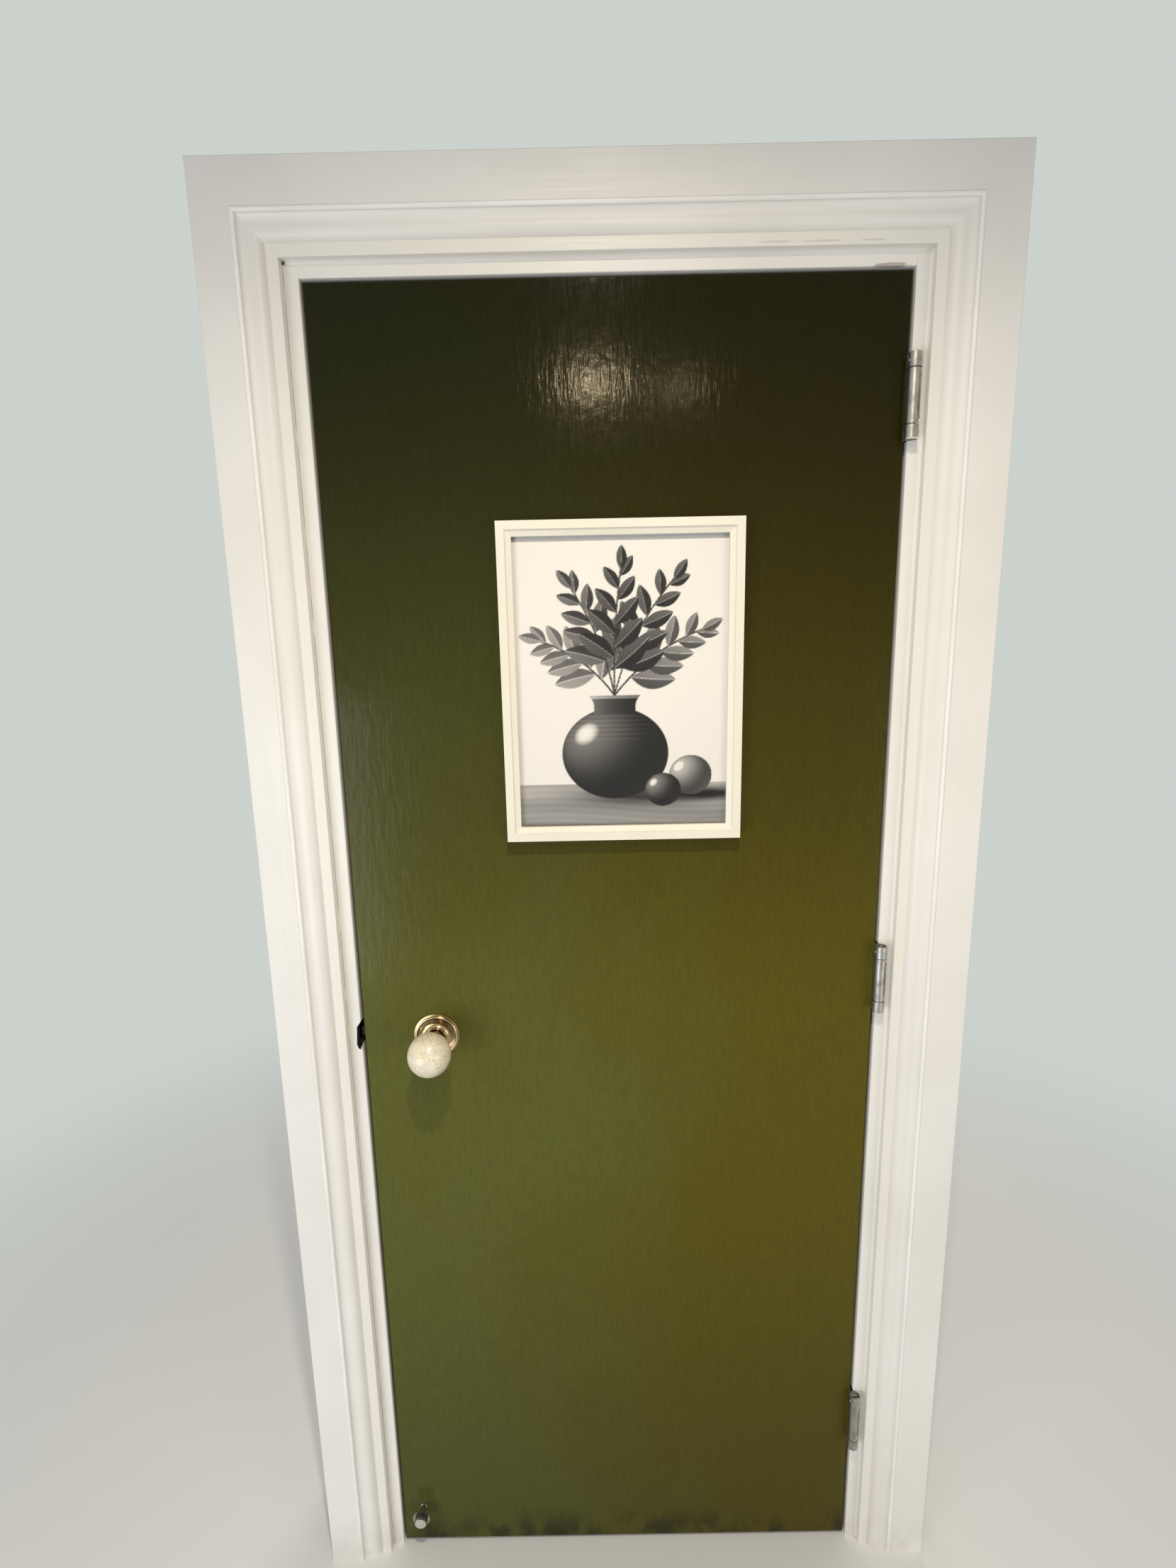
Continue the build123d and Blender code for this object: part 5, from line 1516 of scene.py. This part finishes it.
    def tones(self, u: np.ndarray, v: np.ndarray) -> np.ndarray:
        """The whole print's tones: a pale wall, a table with shadows, the stems, the jug and the fruits.

        The wall darkens with the square of the distance from the middle, and the table's boards are two
        ripples of the height.

        Args:
            u: each point's place across the sheet.
            v: each point's place up the sheet.

        Returns:
            Each point's tone.
        """
        tone = self.wall_tone - self.wall_fall * np.hypot(u, v * 0.8) ** 2
        boards = 0.035 * np.sin(38.0 * v + 2.0 * u) + 0.02 * np.sin(140.0 * v + 5.0 * np.sin(3.0 * u))
        on_table = v < self.table_at
        table = self.table_tone - self.table_fall * (self.table_at - v) + boards
        tone = np.where(on_table, table, tone)
        for shadow in self.shadows:
            du, dv = (u - shadow.at[0]) / shadow.reach[0], (v - shadow.at[1]) / shadow.reach[1]
            tone = tone - self.shadow_tone * np.exp(-(du**2) - dv**2) * on_table
        for stem in self.stems:
            line, sprigs = self.stem(u, v, stem)
            tone = tone + line * (self.stem_tone - tone)
            for sprig in sprigs:
                tone = self.leaf_over(tone, u, v, sprig, stem.grey)
        tone = self.jug_over(tone, u, v)
        for fruit in self.fruits:
            du, dv = (u - fruit.at[0]) / fruit.half, (v - fruit.at[1]) / (0.94 * fruit.half)
            tone = self.ball_over(tone, du, dv, fruit.low, fruit.span)
        return np.clip(tone, 0.0, 1.0)

    def sheet(self) -> bpy.types.Object:
        """The print: a thin closed sheet whose front is a grid of points, each with its tone.

        Returns:
            The new piece.
        """
        across = np.linspace(-0.5, 0.5, round(self.wide / self.step) + 1) * self.wide
        up = np.linspace(-0.5, 0.5, round(self.high / self.step) + 1) * self.high
        du, dv = np.meshgrid(across, up)
        rows, columns = du.shape
        front = np.stack([self.x + du, np.full(du.shape, self.face_y), self.z + dv], -1).reshape(-1, 3)
        count = len(front)
        index = np.arange(count).reshape(rows, columns)
        loop = np.concatenate([index[0, :-1], index[:-1, -1], index[-1, :0:-1], index[:0:-1, 0]])
        rear = front[loop] + np.array([0.0, self.thick, 0.0])
        middle = np.array([[self.x, self.face_y + self.thick, self.z]])
        here, after = np.arange(len(loop)), np.roll(np.arange(len(loop)), -1)
        sides = np.stack([loop[here], loop[after], count + after, count + here], -1)
        fan = np.stack([count + here, count + after, np.full(len(loop), count + len(loop))], -1)
        faces = grid_faces(rows, columns) + [tuple(f) for part in (sides, fan) for f in part.tolist()]
        made = new_piece("picture_design", np.concatenate([front, rear, middle]), faces)
        points = points_of(made.data)
        half = self.high / 2
        tone = self.tones((points[:, 0] - self.x) / half, (points[:, 2] - self.z) / half)
        held = made.data.attributes.new("tone", "FLOAT", "POINT")
        held.data.foreach_set("value", tone.astype(np.float32))
        return made

    def build(self) -> None:
        """Dresses the picture and lays in the print."""
        cream = WhiteGloss(Axis.Z, (0.80, 0.765, 0.655), (0.765, 0.725, 0.61))
        self.paint(cream.material("cream_satin"), "picture_frame")
        self.paint(ClearGlass().material("clear_glass"), "picture_glass")
        self.nodes["picture_glass"].visible_shadow = False
        self.paint(BareTimber(Axis.Z).material("backing_board"), "picture_backing")
        self.paint(Plain((0.8, 0.8, 0.78), (0.7, 0.7, 0.68), 0.9).material("foam"), "picture_strips")
        paper = PrintedPaper("tone").material("printed_paper")
        design = self.add(self.sheet(), paper, "leaf", "printed_paper")
        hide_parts("picture_print")


@dataclass
class Buffer(SubAssembly):
    """The turned buffer near the leaf's lower corner."""

    def build(self) -> None:
        """Dresses the buffer."""
        chrome = Metal((0.50, 0.48, 0.41), (0.26, 0.24, 0.18), (0.16, 0.30), 0.6, 200.0)
        self.paint(chrome.material("worn_chrome"), "door_buffer_body")
        bright = Metal((0.80, 0.79, 0.76), (0.55, 0.53, 0.49), (0.12, 0.24), 0.4, 260.0)
        self.paint(bright.material("bright_chrome"), "door_buffer_cap")
        rubber = Plain((0.016, 0.016, 0.016), (0.028, 0.027, 0.026), 0.38)
        self.paint(rubber.material("black_rubber"), "door_buffer_ring")


@dataclass(frozen=True)
class Lamp:
    """One square soft lamp."""

    name: str
    at: Place
    aim: Place
    size: float
    watts: float
    colour: Colour

    def data(self) -> bpy.types.Light:
        """The lamp's kind and size.

        Returns:
            The lamp's data.
        """
        data = bpy.data.lights.new(self.name, "AREA")
        data.size = self.size
        return data

    def build(self) -> None:
        """Hangs the lamp, aimed at its point and unseen by the camera."""
        data = self.data()
        data.energy = self.watts
        data.color = self.colour
        lamp = bpy.data.objects.new(self.name, data)
        lamp.location = self.at
        lamp.rotation_euler = (Vector(self.aim) - Vector(self.at)).to_track_quat("-Z", "Y").to_euler()
        lamp.visible_camera = False
        bpy.context.scene.collection.objects.link(lamp)


@dataclass(frozen=True)
class Downlight(Lamp):
    """A small round lamp whose light falls off across a wide cone."""

    cone: float = math.radians(121.0)

    def data(self) -> bpy.types.Light:
        """The lamp's kind, its radius and its cone.

        Returns:
            The lamp's data.
        """
        data = bpy.data.lights.new(self.name, "SPOT")
        data.shadow_soft_size = self.size
        data.spot_size = self.cone
        data.spot_blend = 1.0
        return data


WARM, AMBER, PALE, COOL = (1.0, 0.90, 0.73), (1.0, 0.80, 0.50), (1.0, 0.94, 0.87), (0.91, 0.95, 1.0)


@dataclass
class Studio:
    """The floor, the pale surround, the lamps and the camera at the photograph's place.

    The lamps are a warm one overhead, two small ones further out whose gleams show in the leaf, a large
    soft one on each side, and one behind.
    """

    eye: Place = (-0.0343, -1.0174, 1.5373)
    yaw: float = math.radians(0.148)
    pitch: float = math.radians(10.77)
    roll: float = math.radians(-1.154)
    focal_px: float = 1040.0
    frame_px: float = 2212.0
    sensor_mm: float = 36.0
    clip_start: float = 20.0 * MM
    reach: float = 14.0
    fade: Pair = (2.5, 0.9)
    ground: Colour = (0.80, 0.80, 0.78)
    surround: Colour = (0.60, 0.645, 0.61)
    sky: Colour = (0.96, 0.98, 1.0)
    sky_level: float = 0.30
    lamps: tuple[Lamp, ...] = (
        Downlight("downlight", (0.0, -0.95, 2.53), (0.0, -0.50, 0.0), 0.035, 66.0, WARM),
        Downlight("gleam", (0.0, -1.45, 2.33), (0.0, 0.0, 0.72), 0.02, 11.0, AMBER),
        Downlight("gleam_right", (0.27, -1.45, 2.31), (0.0, 0.0, 0.72), 0.02, 2.0, AMBER),
        Lamp("window", (2.2, -2.2, 0.7), (0.0, 0.0, 0.3), 1.4, 20.0, PALE),
        Lamp("fill", (-1.85, -2.3, 0.5), (0.0, 0.0, 0.1), 1.6, 40.0, COOL),
        Lamp("rear", (0.5, 2.6, 2.0), (0.0, 0.2, 0.9), 1.6, 34.0, PALE),
    )

    def camera(self) -> None:
        """Puts the camera where the photograph was taken from.

        Its level direction is turned by yaw and dipped by pitch; its side and top are then rolled about
        the direction of view.
        """
        cy, sy, cp, sp = math.cos(self.yaw), math.sin(self.yaw), math.cos(self.pitch), math.sin(self.pitch)
        forward = np.array([-sy * cp, cy * cp, -sp])
        up = np.array([-sy * sp, cy * sp, cp])
        right = np.array([cy, sy, 0.0])
        side = math.cos(self.roll) * right + math.sin(self.roll) * up
        top = -math.sin(self.roll) * right + math.cos(self.roll) * up
        data = bpy.data.cameras.new("camera")
        data.sensor_width = self.sensor_mm
        data.lens = self.focal_px * self.sensor_mm / self.frame_px
        data.clip_start = self.clip_start
        camera = bpy.data.objects.new("camera", data)
        bpy.context.scene.collection.objects.link(camera)
        rows = [[side[i], top[i], -forward[i], self.eye[i]] for i in range(3)] + [[0, 0, 0, 1]]
        camera.matrix_world = Matrix(rows)
        bpy.context.scene.camera = camera

    def world(self) -> None:
        """An even sky for light, and a pale surround that the camera, gloss and glass see in its place."""
        world = bpy.data.worlds.new("studio")
        bpy.context.scene.world = world
        world.use_nodes = True
        tree = world.node_tree
        light = tree.nodes["Background"]
        light.inputs["Color"].default_value = (*self.sky, 1.0)
        light.inputs["Strength"].default_value = self.sky_level
        seen = tree.nodes.new("ShaderNodeBackground")
        seen.inputs["Color"].default_value = (*self.surround, 1.0)
        rays = tree.nodes.new("ShaderNodeLightPath")
        seen_by = rays.outputs["Is Camera Ray"]
        for kind in ("Is Glossy Ray", "Is Transmission Ray"):
            either = tree.nodes.new("ShaderNodeMath")
            either.operation = "MAXIMUM"
            tree.links.new(seen_by, either.inputs[0])
            tree.links.new(rays.outputs[kind], either.inputs[1])
            seen_by = either.outputs[0]
        mix = tree.nodes.new("ShaderNodeMixShader")
        for number, output in enumerate((seen_by, light.outputs[0], seen.outputs[0])):
            tree.links.new(output, mix.inputs[number])
        tree.links.new(mix.outputs[0], tree.nodes["World Output"].inputs[0])

    def floor(self) -> None:
        """A plain pale floor round the door set, which fades into the surround with the distance."""
        r = self.reach
        corners = np.array([[-r, -r, 0], [r, -r, 0], [r, r, 0], [-r, r, 0]], float)
        floor = new_piece("floor", corners, [(0, 1, 2, 3)])
        g = Graph("floor")
        g.set(base_color=self.ground, roughness=0.8, specular_ior_level=0.1)
        g.set(alpha=g.span(g.length(g.point), *self.fade))
        dress(floor, g.material)

    def build(self) -> None:
        """Sets up the whole studio."""
        self.camera()
        self.world()
        self.floor()
        for lamp in self.lamps:
            lamp.build()
        bpy.context.scene.view_settings.view_transform = "Standard"


def main() -> None:
    """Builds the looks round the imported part."""
    logging.basicConfig(level=logging.INFO, format="%(message)s")
    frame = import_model()
    Studio().build()
    for group in (Frame, Leaf, Hinges, KnobSet, Latch, Picture, Buffer):
        group(frame["nodes"]).build()


if __name__ == "__main__":
    main()
